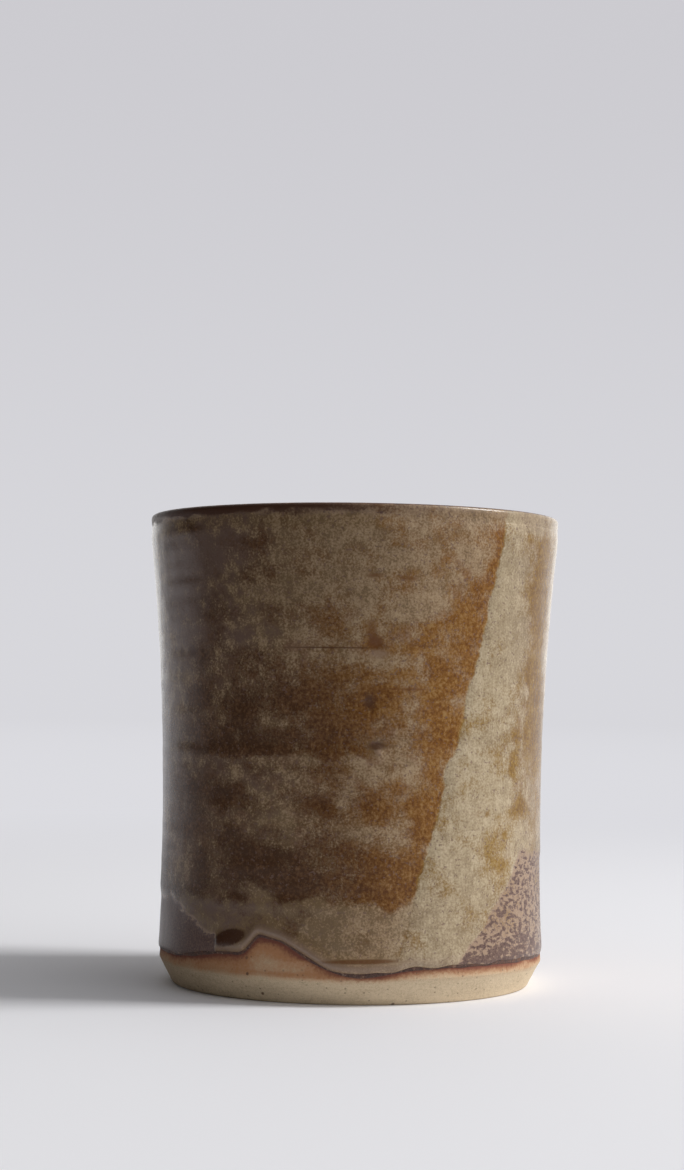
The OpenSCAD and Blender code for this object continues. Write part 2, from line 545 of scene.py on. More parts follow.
class Graph:
    """Short names for the shader nodes that the finishes use."""

    def __init__(self, name: str) -> None:
        """Starts a material with a Principled surface."""
        self.material = bpy.data.materials.new(name)
        self.material.use_nodes = True
        self.nodes = self.material.node_tree.nodes
        self.links = self.material.node_tree.links
        self.shader = self.nodes["Principled BSDF"]
        self.place = self.nodes.new("ShaderNodeTexCoord").outputs["Object"]

    def feed(self, socket: Socket, value: "Socket | float | Colour") -> None:
        """Links a socket to another, or sets it to a constant."""
        if isinstance(value, bpy.types.NodeSocket):
            self.links.new(value, socket)
        elif isinstance(value, tuple):
            socket.default_value = (*value, 1.0)
        else:
            socket.default_value = value

    def field(self, name: str) -> Socket:
        """Value of a named field of the mesh."""
        node = self.nodes.new("ShaderNodeAttribute")
        node.attribute_name = name
        return node.outputs["Fac"]

    def stretched(self, tall: float) -> Socket:
        """Object coordinates with heights multiplied, so that patterns lie flat round the wall."""
        if tall == 1.0:
            return self.place
        node = self.nodes.new("ShaderNodeMapping")
        node.inputs["Scale"].default_value = (1.0, 1.0, tall)
        self.links.new(self.place, node.inputs["Vector"])
        return node.outputs["Vector"]

    def noise(self, grain: Grain) -> Socket:
        """Noise of a grain, as a value round one half."""
        node = self.nodes.new("ShaderNodeTexNoise")
        node.inputs["Scale"].default_value = 1.0 / (grain.size * MM)
        node.inputs["Detail"].default_value = grain.detail
        node.inputs["Roughness"].default_value = grain.rough
        self.links.new(self.stretched(grain.tall), node.inputs["Vector"])
        return node.outputs["Fac"]

    def specks(self, spacing: float, size: float, share: float) -> Socket:
        """Small round specks: near the middles of Voronoi cells, in those cells whose random tone is high.

        Args:
            spacing: distance between cells, in millimetres.
            size: radius of a speck as a share of the spacing.
            share: share of the cells that hold a speck.

        Returns:
            A value that is 1 in a speck and 0 outside.
        """
        node = self.nodes.new("ShaderNodeTexVoronoi")
        node.inputs["Scale"].default_value = 1.0 / (spacing * MM)
        self.links.new(self.place, node.inputs["Vector"])
        spot = self.ease(node.outputs["Distance"], size, 0.45 * size)
        tone = self.nodes.new("ShaderNodeSeparateColor")
        self.links.new(node.outputs["Color"], tone.inputs["Color"])
        chosen = self.ease(tone.outputs["Red"], 1.0 - share, 1.0 - 0.6 * share)
        return self.sum("MULTIPLY", spot, chosen)

    def dab(self, spot: Dab, uneven: Socket) -> Socket:
        """Small crisp mark: distance in half sizes from a place on the wall, roughened, and eased at one.

        Args:
            spot: the mark.
            uneven: noise that roughens the border.

        Returns:
            A value that is the mark's share inside and 0 outside.
        """
        node = self.nodes.new("ShaderNodeMapping")
        node.vector_type = "TEXTURE"
        node.inputs["Location"].default_value = round_cup(*map(np.array, (spot.turn, spot.radius, spot.rise)))
        node.inputs["Rotation"].default_value = (0.0, np.radians(-spot.tilt), np.radians(spot.turn))
        node.inputs["Scale"].default_value = (spot.across * MM, spot.deep * MM, spot.up * MM)
        self.links.new(self.place, node.inputs["Vector"])
        border = self.sum("MULTIPLY_ADD", uneven, spot.ragged, self.length(node.outputs["Vector"]))
        middle = 1.0 + 0.5 * spot.ragged
        return self.ease(border, middle + spot.soft, middle - spot.soft, 0.0, spot.share)

    def length(self, place: Socket) -> Socket:
        """Length of a vector."""
        node = self.nodes.new("ShaderNodeVectorMath")
        node.operation = "LENGTH"
        self.links.new(place, node.inputs[0])
        return node.outputs["Value"]

    def sum(self, way: str, first: "Socket | float", second: "Socket | float",
            third: "Socket | float" = 0.0) -> Socket:
        """Math of two or three values, such as ADD, MULTIPLY, MULTIPLY_ADD or MAXIMUM."""
        node = self.nodes.new("ShaderNodeMath")
        node.operation = way
        for socket, value in zip(node.inputs, (first, second, third)):
            self.feed(socket, value)
        return node.outputs["Value"]

    def ease(self, value: Socket, low: float, high: float, start: float = 0.0, end: float = 1.0) -> Socket:
        """Smooth step of a value from start at low to end at high."""
        node = self.nodes.new("ShaderNodeMapRange")
        node.interpolation_type = "SMOOTHSTEP"
        turned = low > high
        self.feed(node.inputs["Value"], value)
        self.feed(node.inputs["From Min"], min(low, high))
        self.feed(node.inputs["From Max"], max(low, high))
        self.feed(node.inputs["To Min"], end if turned else start)
        self.feed(node.inputs["To Max"], start if turned else end)
        return node.outputs["Result"]

    def tones(self, value: Socket, stops: tuple[tuple[float, Colour], ...]) -> Socket:
        """Colour along a row of stops.

        Args:
            value: where along the row.
            stops: place and colour of each stop, the first and last at the ends.

        Returns:
            The colour socket.
        """
        node = self.nodes.new("ShaderNodeValToRGB")
        row = node.color_ramp.elements
        while len(row) < len(stops):
            row.new(0.5)
        for element, (place, colour) in zip(row, stops):
            element.position = place
            element.color = (*colour, 1.0)
        self.links.new(value, node.inputs["Fac"])
        return node.outputs["Color"]

    def blend(self, share: "Socket | float", under: "Socket | Colour", over: "Socket | Colour") -> Socket:
        """Colour over another by a share."""
        node = self.nodes.new("ShaderNodeMix")
        node.data_type = "RGBA"
        self.feed(node.inputs[0], share)
        self.feed(node.inputs[6], under)
        self.feed(node.inputs[7], over)
        return node.outputs[2]

    def bump(self, height: Socket, depth: float, strength: float) -> None:
        """Bump on the surface, of a depth in millimetres."""
        node = self.nodes.new("ShaderNodeBump")
        node.inputs["Strength"].default_value = strength
        node.inputs["Distance"].default_value = depth * MM
        self.links.new(height, node.inputs["Height"])
        self.links.new(node.outputs["Normal"], self.shader.inputs["Normal"])


@dataclass(frozen=True)
class GlazeFinish:
    """Satin ash glaze: a tan or pale ground under clouds of rust, with a network of iron where it is thin.

    Attributes:
        name: the material's name.
        tan: dark, middle and light tan of the ground.
        pale: dark, middle and light tone where the glaze is thick and pale.
        brown: dark, middle and light brown of the clouds.
        rust: dark, middle and light rust, which the clouds take where they are amber.
        ochre: dark, middle and light ochre, which the clouds take on the pour.
        iron: dark and light purple-brown of the network.
        island: pinkish tan between the network.
        bead: grey of the thick rolled edge.
        stain_and_painted_shade: brown of pooled stains, and of painted shade along the left of the lip.
        blush: pinkish brown of soft patches in the ground.
        mauve: purple-grey of smears, also spread over the left side as painted shade.
        rough: roughness of the gloss.
        index: refractive index of the gloss.
        bump: depth of the fine relief, in millimetres.
        dabs: small crisp marks, painted last.
        cloud: grain of the clouds' outlines.
        blotch: grain of the soft blotches inside them.
        grit: finest grain of the ground.
        grain: grain of the clouds' own tone.
        runs: fine grain drawn out down the wall.
        warmth: grain of the pinkish patches.
        flecks: grain of the iron flecks.
        mesh: grain of the iron network.
    """

    name: str
    tan: Shades = ((0.215, 0.140, 0.071), (0.350, 0.234, 0.132), (0.465, 0.332, 0.199))
    pale: Shades = ((0.330, 0.246, 0.146), (0.445, 0.346, 0.218), (0.545, 0.440, 0.292))
    brown: Shades = ((0.072, 0.028, 0.008), (0.142, 0.066, 0.026), (0.255, 0.145, 0.075))
    rust: Shades = ((0.135, 0.043, 0.004), (0.240, 0.095, 0.010), (0.370, 0.205, 0.065))
    ochre: Shades = ((0.180, 0.082, 0.008), (0.270, 0.148, 0.024), (0.370, 0.240, 0.078))
    iron: tuple[Colour, Colour] = ((0.090, 0.045, 0.036), (0.190, 0.112, 0.085))
    island: Colour = (0.390, 0.268, 0.180)
    bead: Colour = (0.285, 0.195, 0.138)
    stain_and_painted_shade: Colour = (0.075, 0.028, 0.012)
    blush: Colour = (0.240, 0.128, 0.078)
    mauve: Colour = (0.168, 0.104, 0.076)
    rough: float = 0.24
    index: float = 1.48
    bump: float = 0.10
    dabs: tuple[Dab, ...] = ()
    cloud: Grain = Grain(7.5, 5.0, 0.52, 1.25)
    blotch: Grain = Grain(2.6, 3.0, 0.60, 1.05)
    grit: Grain = Grain(0.38, 2.0, 0.62)
    grain: Grain = Grain(0.60, 3.0, 0.66)
    runs: Grain = Grain(0.62, 3.0, 0.60, 0.30)
    warmth: Grain = Grain(3.6, 3.0, 0.6, 1.2)
    flecks: Grain = Grain(0.70, 1.5, 0.55, 1.2)
    mesh: Grain = Grain(1.25, 3.0, 0.62, 1.8)

    @staticmethod
    def spread(g: Graph, tone: Socket, row: Shades) -> Socket:
        """Dark, middle and light colours over the middle half of a tone."""
        return g.tones(tone, ((0.24, row[0]), (0.50, row[1]), (0.76, row[2])))

    def make(self) -> bpy.types.Material:
        """Builds the material: fields of the mesh plus noise are eased into masks that lay colour on colour.

        Each mask is a weighted sum of noises less half the sum of the weights, so that its middle stays with
        the field, and a wider step lets more of the colour below show through.

        Returns:
            The material.
        """
        g = Graph(self.name)
        cloud = g.noise(self.cloud)
        blotch = g.noise(self.blotch)
        grit = g.noise(self.grit)
        grain = g.noise(self.grain)
        runs = g.noise(self.runs)
        fine = g.sum("MULTIPLY_ADD", grit, 0.68, g.sum("MULTIPLY", runs, 0.32))
        # The shade field: tone of the ground, which on the outer glaze also holds painted shade on the left
        # and low down.
        shade = g.field("shade")
        tone = g.sum("MULTIPLY_ADD", blotch, -0.9, g.sum("MULTIPLY_ADD", fine, -1.9, 1.4))
        tone = g.sum("ADD", tone, shade)
        ground = g.blend(g.field("pale"), self.spread(g, tone, self.tan), self.spread(g, tone, self.pale))
        rust = g.field("rust")
        patches = g.ease(g.noise(self.warmth), 0.50, 0.66)
        warm = g.sum("MULTIPLY", patches, g.ease(rust, 0.25, 0.55, 0.0, 0.5))
        ground = g.blend(warm, ground, self.blush)
        # Purple-grey smears of thin glaze, and painted shade: a mauve ramp over the left side.
        smear_and_painted_shade = g.sum("MULTIPLY_ADD", blotch, 1.6, g.sum("MULTIPLY_ADD", fine, 1.2, -1.4))
        smear_and_painted_shade = g.ease(g.sum("ADD", smear_and_painted_shade, g.field("smear_and_painted_shade")), 0.10, 0.80)
        ground = g.blend(smear_and_painted_shade, ground, self.mauve)
        iron = g.field("iron")
        ground = g.blend(g.ease(iron, 0.22, 0.60), ground, self.island)
        reach = g.sum("MULTIPLY_ADD", cloud, 2.6, g.sum("SUBTRACT", rust, 2.4))
        reach = g.sum("ADD", reach, g.sum("MULTIPLY_ADD", blotch, 0.8, g.sum("MULTIPLY", fine, 1.4)))
        cover = g.ease(reach, 0.06, 0.94)
        deep = g.sum("MULTIPLY_ADD", grain, 1.3, g.sum("MULTIPLY_ADD", runs, 0.45, -0.875))
        # The shade field, painted shade included, also darkens the clouds.
        veil_tone_and_painted_shade = g.sum("MULTIPLY_ADD", shade, 0.8, -0.15)
        deep = g.sum("MULTIPLY_ADD", blotch, 0.5, g.sum("ADD", deep, veil_tone_and_painted_shade))
        veil = g.blend(g.field("amber"), self.spread(g, deep, self.brown), self.spread(g, deep, self.rust))
        veil = g.blend(g.field("poured"), veil, self.spread(g, deep, self.ochre))
        colour = g.blend(cover, ground, veil)
        fleck = g.ease(g.noise(self.flecks), 0.625, 0.695)
        colour = g.blend(g.sum("MULTIPLY", fleck, 0.65), colour, self.iron[1])
        net = g.sum("MULTIPLY_ADD", iron, 0.55, g.sum("SUBTRACT", g.noise(self.mesh), 0.841))
        net = g.ease(net, -0.055, 0.075)
        colour = g.blend(net, colour, g.tones(grit, ((0.36, self.iron[0]), (0.66, self.iron[1]))))
        colour = g.blend(g.field("bead"), colour, self.bead)
        # Mask of pooled stains, and of the stain along the lip, whose extra strength on the left is painted
        # shade.
        pooled = g.sum("MULTIPLY_ADD", fine, 0.6, g.sum("SUBTRACT", g.field("stain_and_painted_shade"), 0.3))
        pooled = g.ease(pooled, 0.2, 0.8)
        colour = g.blend(pooled, colour, self.stain_and_painted_shade)
        for spot in self.dabs:
            colour = g.blend(g.dab(spot, fine), colour, spot.colour)
        g.feed(g.shader.inputs["Base Color"], colour)
        gloss = g.sum("MULTIPLY_ADD", grit, 0.18, self.rough - 0.09)
        gloss = g.sum("MULTIPLY_ADD", pooled, 0.20, gloss)
        g.feed(g.shader.inputs["Roughness"], g.sum("MULTIPLY_ADD", net, 0.10, gloss))
        g.shader.inputs["IOR"].default_value = self.index
        height = g.sum("MULTIPLY_ADD", blotch, 0.6, g.sum("MULTIPLY", grit, 0.35))
        height = g.sum("MULTIPLY_ADD", fleck, -0.3, g.sum("MULTIPLY_ADD", net, -0.25, height))
        g.bump(height, self.bump, 0.5)
        return g.material


@dataclass(frozen=True)
class ClayFinish:
    """Bare buff stoneware: fine sandy grain, dark iron specks and an orange flash beside the glaze.

    Attributes:
        name: the material's name.
        buff: dark, middle and light buff.
        glow: orange of the broad flash.
        flash: red of the fringe at the line.
        speck: colour of the iron specks.
        wide: grain of the slow tone.
        fine: grain of the sand.
        grain: grain of the finest sand.
        trim: grain of the trimming marks.
        rough: least and most roughness.
        sheen: specular level.
        bump: depth of the fine relief, in millimetres.
    """

    name: str
    buff: Shades = ((0.46, 0.35, 0.225), (0.66, 0.53, 0.36), (0.76, 0.63, 0.45))
    glow: Colour = (0.46, 0.228, 0.108)
    flash: Colour = (0.205, 0.073, 0.048)
    speck: Colour = (0.13, 0.075, 0.05)
    wide: Grain = Grain(5.0, 2.0, 0.5, 2.0)
    fine: Grain = Grain(0.55, 2.0, 0.6)
    grain: Grain = Grain(0.22, 1.0, 0.5)
    trim: Grain = Grain(2.2, 2.0, 0.6, 9.0)
    rough: tuple[float, float] = (0.72, 0.90)
    sheen: float = 0.3
    bump: float = 0.12

    def make(self) -> bpy.types.Material:
        """Builds the material: sandy noise gives the tone, which is darker under the foot and darkened by
        painted shade on the left, the flash field warms it and specks darken it.

        Returns:
            The material.
        """
        g = Graph(self.name)
        wide = g.noise(self.wide)
        fine = g.noise(self.fine)
        grain = g.noise(self.grain)
        trim = g.noise(self.trim)
        tone = g.sum("MULTIPLY_ADD", grain, 0.35, g.sum("MULTIPLY", fine, 0.30))
        tone = g.sum("MULTIPLY_ADD", wide, 0.20, g.sum("MULTIPLY_ADD", trim, 0.15, tone))
        # Darker under the foot, and painted shade on the clay's left side.
        tone = g.sum("SUBTRACT", tone, g.field("underside_darkening_and_painted_shade"))
        colour = g.tones(tone, ((0.30, self.buff[0]), (0.50, self.buff[1]), (0.70, self.buff[2])))
        uneven = g.sum("MULTIPLY_ADD", wide, 0.5, g.sum("MULTIPLY_ADD", fine, 0.6, -0.55))
        colour = g.blend(g.ease(g.sum("ADD", uneven, g.field("glow")), 0.05, 0.95), colour, self.glow)
        colour = g.blend(g.ease(g.sum("ADD", uneven, g.field("flash")), 0.15, 0.95), colour, self.flash)
        small = g.specks(0.85, 0.30, 0.22)
        large = g.specks(2.6, 0.16, 0.30)
        specks = g.sum("MAXIMUM", g.sum("MULTIPLY", small, 0.55), g.sum("MULTIPLY", large, 0.85))
        g.feed(g.shader.inputs["Base Color"], g.blend(specks, colour, self.speck))
        g.feed(g.shader.inputs["Roughness"], g.ease(fine, 0.2, 0.8, *self.rough))
        g.shader.inputs["Specular IOR Level"].default_value = self.sheen
        sand = g.sum("MULTIPLY_ADD", fine, 0.5, g.sum("MULTIPLY", grain, 0.4))
        height = g.sum("MULTIPLY_ADD", trim, 0.5, sand)
        g.bump(g.sum("MULTIPLY_ADD", specks, -0.5, height), self.bump, 0.7)
        return g.material


@dataclass(frozen=True)
class SlipFinish:
    """Dark iron slip: purple-brown with paler and rusty specks, thin and satin.

    Attributes:
        name: the material's name.
        dark: the darkest tone.
        light: the lighter purple-brown.
        speck: pale specks that break through.
        rust: rusty specks.
        index: refractive index of the thin gloss.
        fine: grain of the tone.
        grain: finest grain of the tone.
        rusty: grain of the rusty specks.
        broken: grain of the pale specks.
        rough: least and most roughness.
        bump: depth of the fine relief, in millimetres.
    """

    name: str
    dark: Colour = (0.050, 0.024, 0.019)
    light: Colour = (0.140, 0.076, 0.057)
    speck: Colour = (0.34, 0.24, 0.17)
    rust: Colour = (0.17, 0.070, 0.035)
    index: float = 1.40
    fine: Grain = Grain(0.7, 2.0, 0.6)
    grain: Grain = Grain(0.28, 1.0, 0.5)
    rusty: Grain = Grain(1.6, 4.0, 0.68)
    broken: Grain = Grain(0.8, 3.0, 0.68)
    rough: tuple[float, float] = (0.40, 0.58)
    bump: float = 0.08

    def make(self) -> bpy.types.Material:
        """Builds the material: noise between dark and light, with two kinds of specks laid over.

        Returns:
            The material.
        """
        g = Graph(self.name)
        fine = g.noise(self.fine)
        grain = g.noise(self.grain)
        tone = g.sum("MULTIPLY_ADD", grain, 0.5, g.sum("MULTIPLY", fine, 0.5))
        colour = g.tones(tone, ((0.36, self.dark), (0.66, self.light)))
        colour = g.blend(g.ease(g.noise(self.rusty), 0.48, 0.62, 0.0, 0.7), colour, self.rust)
        colour = g.blend(g.ease(g.noise(self.broken), 0.56, 0.68, 0.0, 0.6), colour, self.speck)
        g.feed(g.shader.inputs["Base Color"], colour)
        g.feed(g.shader.inputs["Roughness"], g.ease(fine, 0.25, 0.75, *self.rough))
        g.shader.inputs["IOR"].default_value = self.index
        g.bump(tone, self.bump, 0.5)
        return g.material


@dataclass
class Piece:
    """One piece of the cup: the CAD node that it stands for, a material slot name and its body.

    Attributes:
        form: the cup's form.
        name: the piece's name.
        node: the CAD node that it replaces.
        slot: a material slot name; not used.
    """

    form: CupForm
    name: str
    node: str
    slot: str

    def surface(self) -> Surface:
        """The piece's closed surface."""
        raise NotImplementedError

    def finish(self) -> bpy.types.Material:
        """The piece's material."""
        raise NotImplementedError

    def make(self) -> bpy.types.Object:
        """Returns:
            The finished object.
        """
        piece = self.surface().build(self.name)
        piece.data.materials.append(self.finish())
        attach(piece, "root")
        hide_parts(self.node)
        return piece


@dataclass
class ClayBody(Piece):
    """Thrown and trimmed clay: underside, foot ring, bevel, wall, lip and inside as one turned surface."""

    columns: int = 336
    dish: float = 0.25
    dish_round: float = 3.0
    hollow_round: float = 0.9
    foot_round: float = 0.7
    bevel_round: float = 0.8
    wall_gap: float = 1.2
    spacing: float = 0.5
    longest: float = 0.8
    glazed_from: float = 13.0

    def profile(self) -> tuple[Array, Array, Array]:
        """Profile from the middle of the underside out, up the outside, over the lip and down to the floor.

        The foot is a straight path with turned corners; the walls follow the form's arcs; the lip is a half
        ellipse; the floor turns up on a quarter circle.

        Returns:
            Radii and heights in millimetres, and the share of each point that lies on the thrown wall.
        """
        form = self.form
        foot = form.foot_radius
        hollow = foot - form.ring_width
        bevel = float(form.outer(np.array(form.bevel_height)))
        wall_start = form.bevel_height + self.wall_gap
        path = rounded_path([
            (0.0, form.hollow_depth - self.dish, 0.0),
            (hollow * 0.55, form.hollow_depth, self.dish_round),
            (hollow - form.hollow_lean, form.hollow_depth, self.hollow_round),
            (hollow + 0.1, 0.0, self.foot_round),
            (foot, 0.0, self.foot_round),
            (bevel, form.bevel_height, self.bevel_round),
            (float(form.outer(np.array(wall_start))), wall_start, 0.0)], 9)
        fill = np.linspace(0.0, 1.0, 14)[1:-1, None]
        path = np.concatenate([path[:1] * (1 - fill) + path[1] * fill, path[1:]])
        path = self.filled(path)
        up = np.concatenate([np.linspace(wall_start, 14.0, 34)[1:], np.linspace(14.0, form.lip_foot, 62)[1:]])
        outside = np.stack([form.outer(up), up], axis=-1)
        middle = 0.5 * (form.outer(np.array(form.lip_foot)) + form.inner(np.array(form.lip_foot)))
        arc = np.radians(np.linspace(0.0, 180.0, 15)[1:-1])
        lip_out = middle + 0.5 * form.lip_wall * np.cos(arc)
        lip = np.stack([lip_out, form.lip_foot + form.lip_round * np.sin(arc)], axis=-1)
        turn_top = form.floor_height + form.turn_radius
        down = np.linspace(form.lip_foot, turn_top, 40)
        inside = np.stack([form.inner(down), down], axis=-1)
        arc = np.radians(np.linspace(0.0, 90.0, 14)[1:])
        corner = form.inner(np.array(turn_top)) - form.turn_radius
        bend_out = corner + form.turn_radius * np.cos(arc)
        turned = np.stack([bend_out, turn_top - form.turn_radius * np.sin(arc)], axis=-1)
        floor = np.stack([np.linspace(corner, 0.0, 14)[1:], np.full(13, form.floor_height)], axis=-1)
        full = np.concatenate([path, outside, lip, inside, turned, floor])
        thrown = np.concatenate([np.zeros(len(path)), np.ones(len(outside)), np.ones(len(lip)),
                                 np.zeros(len(inside) + len(turned) + len(floor))])
        return full[:, 0], full[:, 1], thrown

    def filled(self, path: Array) -> Array:
        """Path with evenly spaced points added on its long straight steps.

        Args:
            path: the points.

        Returns:
            The longer path.
        """
        sizes = np.linalg.norm(np.diff(path, axis=0), axis=1)
        lengths = np.concatenate([[0.0], np.cumsum(sizes)])
        gap = self.spacing
        added = [np.arange(lengths[step] + gap, lengths[step + 1] - 0.5 * gap, gap)
                 for step in np.nonzero(sizes > self.longest)[0]]
        places = np.sort(np.concatenate([lengths, *added]))
        return np.stack([np.interp(places, lengths, values) for values in path.T], axis=-1)

    def surface(self) -> Surface:
        """Turns the profile, with throwing marks on the wall and trimming marks on the foot.

        Returns:
            The closed surface, with the flash beside the glaze line, a darker tone under the foot, and
            painted shade darkening the clay round its left side.
        """
        form = self.form
        radius, rise, thrown = (values[:, None] for values in self.profile())
        turn = columns_round(self.columns)
        fade = ramp(rise, form.bevel_height + 0.8, form.bevel_height + 3.5) * thrown
        radius = radius + fade * form.relief(turn, rise)
        outer_foot = (radius > form.foot_radius - 2.0) & (rise < 12.0)
        trim = 0.035 * Mottle(5, 0.55, 21).at(turn, rise) + 0.05 * Mottle(14, 2.4, 22).at(turn, rise)
        radius = radius + np.where(outer_foot, trim * ramp(rise, 0.2, 1.2), 0.0)
        under = (radius < form.foot_radius - form.ring_width - 1.5) & (rise < 4.0)
        rings = 0.05 * np.sin(2.0 * np.pi * radius / 2.3 + np.radians(turn))
        lift = np.where(under, rings * ramp(radius, 1.0, 4.0), 0.0)
        above = rise - form.line(turn)
        outside = (radius > form.foot_radius - 1.0) & (rise < 20.0)
        hill = bell(turn_from(turn, -22.0), 34.0, 20.0)
        uneven = Mottle(40, 1.5, 23).at(turn, rise)
        flash = np.exp(np.minimum(above, 0.0) / (0.9 + 0.3 * hill)) * (0.85 + 0.25 * hill + 0.3 * uneven)
        glow = np.exp(np.minimum(above, 0.0) / (2.0 + 5.0 * hill)) * (0.95 + 0.25 * hill + 0.2 * uneven)
        glow = glow * ramp(rise, form.bevel_height - 1.4, form.bevel_height + 0.5)
        glow = glow + Mark(-21.0, form.bevel_height + 0.6, 13.0, 0.5, 0.35).at(turn, rise)
        flash = np.where(outside, flash, 0.0)
        glow = np.where(outside, glow, 0.0)
        # Darker under the foot; the bell round the left side is painted shade, where the cup lies in shade.
        underside_darkening_and_painted_shade = np.where(under, 0.06, 0.0) + 0.20 * bell(turn_from(turn, -85.0), 60.0, 42.0)
        weights = np.where(rise[1:, 0] > self.glazed_from, 0.05, 1.0)
        fields = {"flash": flash, "glow": glow, "underside_darkening_and_painted_shade": underside_darkening_and_painted_shade}
        return Surface(round_cup(turn, radius, rise + lift), fields, Ends.POLES, weights)

    def finish(self) -> bpy.types.Material:
        """Bare buff stoneware."""
        return ClayFinish("bare buff stoneware").make()


@dataclass
class IronSlip(Piece):
    """First coat: outside from its wavy lower edge up, over the lip and a little way down the inside."""

    columns: int = 640
    edge_band: float = 1.6
    sunk_outside: float = 0.12
    sunk_inside: float = 0.25

    def surface(self) -> Surface:
        """Outer face of the slip, over the lip, and a back face sunk a little into the clay.

        The outer rows run from the line to the foot of the lip; the lip is a half ellipse between the two
        walls; the back runs down the middle of the clay wall.

        Returns:
            The closed surface.
        """
        form = self.form
        turn = columns_round(self.columns)
        line = form.line(turn) + 0.10 * Mottle(120, 3.0, 31).level(turn)
        near = shares(9) ** 1.4 * self.edge_band
        start = line + self.edge_band
        rise = np.concatenate([line + near, start + (form.lip_foot - start) * shares(48)[1:]])
        coat = form.slip * (0.35 + 0.65 * ramp(rise - line, 0.0, 0.35))
        coat = coat + 0.02 * Mottle(90, 1.6, 32).at(turn, rise)
        outside = form.clay(turn, rise) + coat
        lip_radius, lip_rise = form.lip(turn, np.linspace(0.0, 180.0, 41)[1:-1, None], 0.0)
        brim = form.liner_top + 0.5 * Mottle(34, 30.0, 34).level(turn)
        down = form.lip_foot + (brim - form.lip_foot) * shares(9)
        inside = form.inner(down) - form.slip * (0.2 + 0.8 * ramp(down - brim, -0.1, 1.0))
        climb = brim + (form.lip_foot - brim) * shares(6)
        sink = form.lip_foot + (line - form.lip_foot) * shares(24)
        hidden = form.inner(climb) + self.sunk_inside
        back = np.concatenate([hidden, form.clay(turn, sink) - self.sunk_outside])
        radius = np.concatenate([outside, lip_radius, inside, back])
        rise = np.concatenate([rise, lip_rise, down, climb, sink])
        lip_start = len(outside)
        lip_end = lip_start + len(lip_rise) + len(down)
        weights = np.full(len(rise), 0.08)
        weights[:len(near)] = 1.0
        weights[lip_start - 6:lip_end + 2] = 1.0
        return Surface(round_cup(turn, radius, rise), {}, Ends.LOOP, weights)

    def finish(self) -> bpy.types.Material:
        """Dark purple-brown slip."""
        return SlipFinish("iron slip").make()


def pour_left(rise: Array) -> Array:
    """Turn of the left edge of the pour: a slant with a slight bow, one step and a ragged edge.

    Args:
        rise: heights, in millimetres.

    Returns:
        Turns in degrees.
    """
    slant = 17.6 + 0.397 * (rise - 20.0)
    bow = 2.0 * np.sin(np.pi * np.clip((rise - 20.0) / 66.0, 0.0, 1.0))
    step = -1.6 * bell(rise - 42.6, 2.6, 1.6) + 0.9 * bell(rise - 46.5, 1.8, 2.4)
    ragged = 0.40 * Mottle(1, 3.2, 61).column(rise) + 0.40 * Mottle(1, 0.7, 62).column(rise)
    return slant + bow + step + ragged


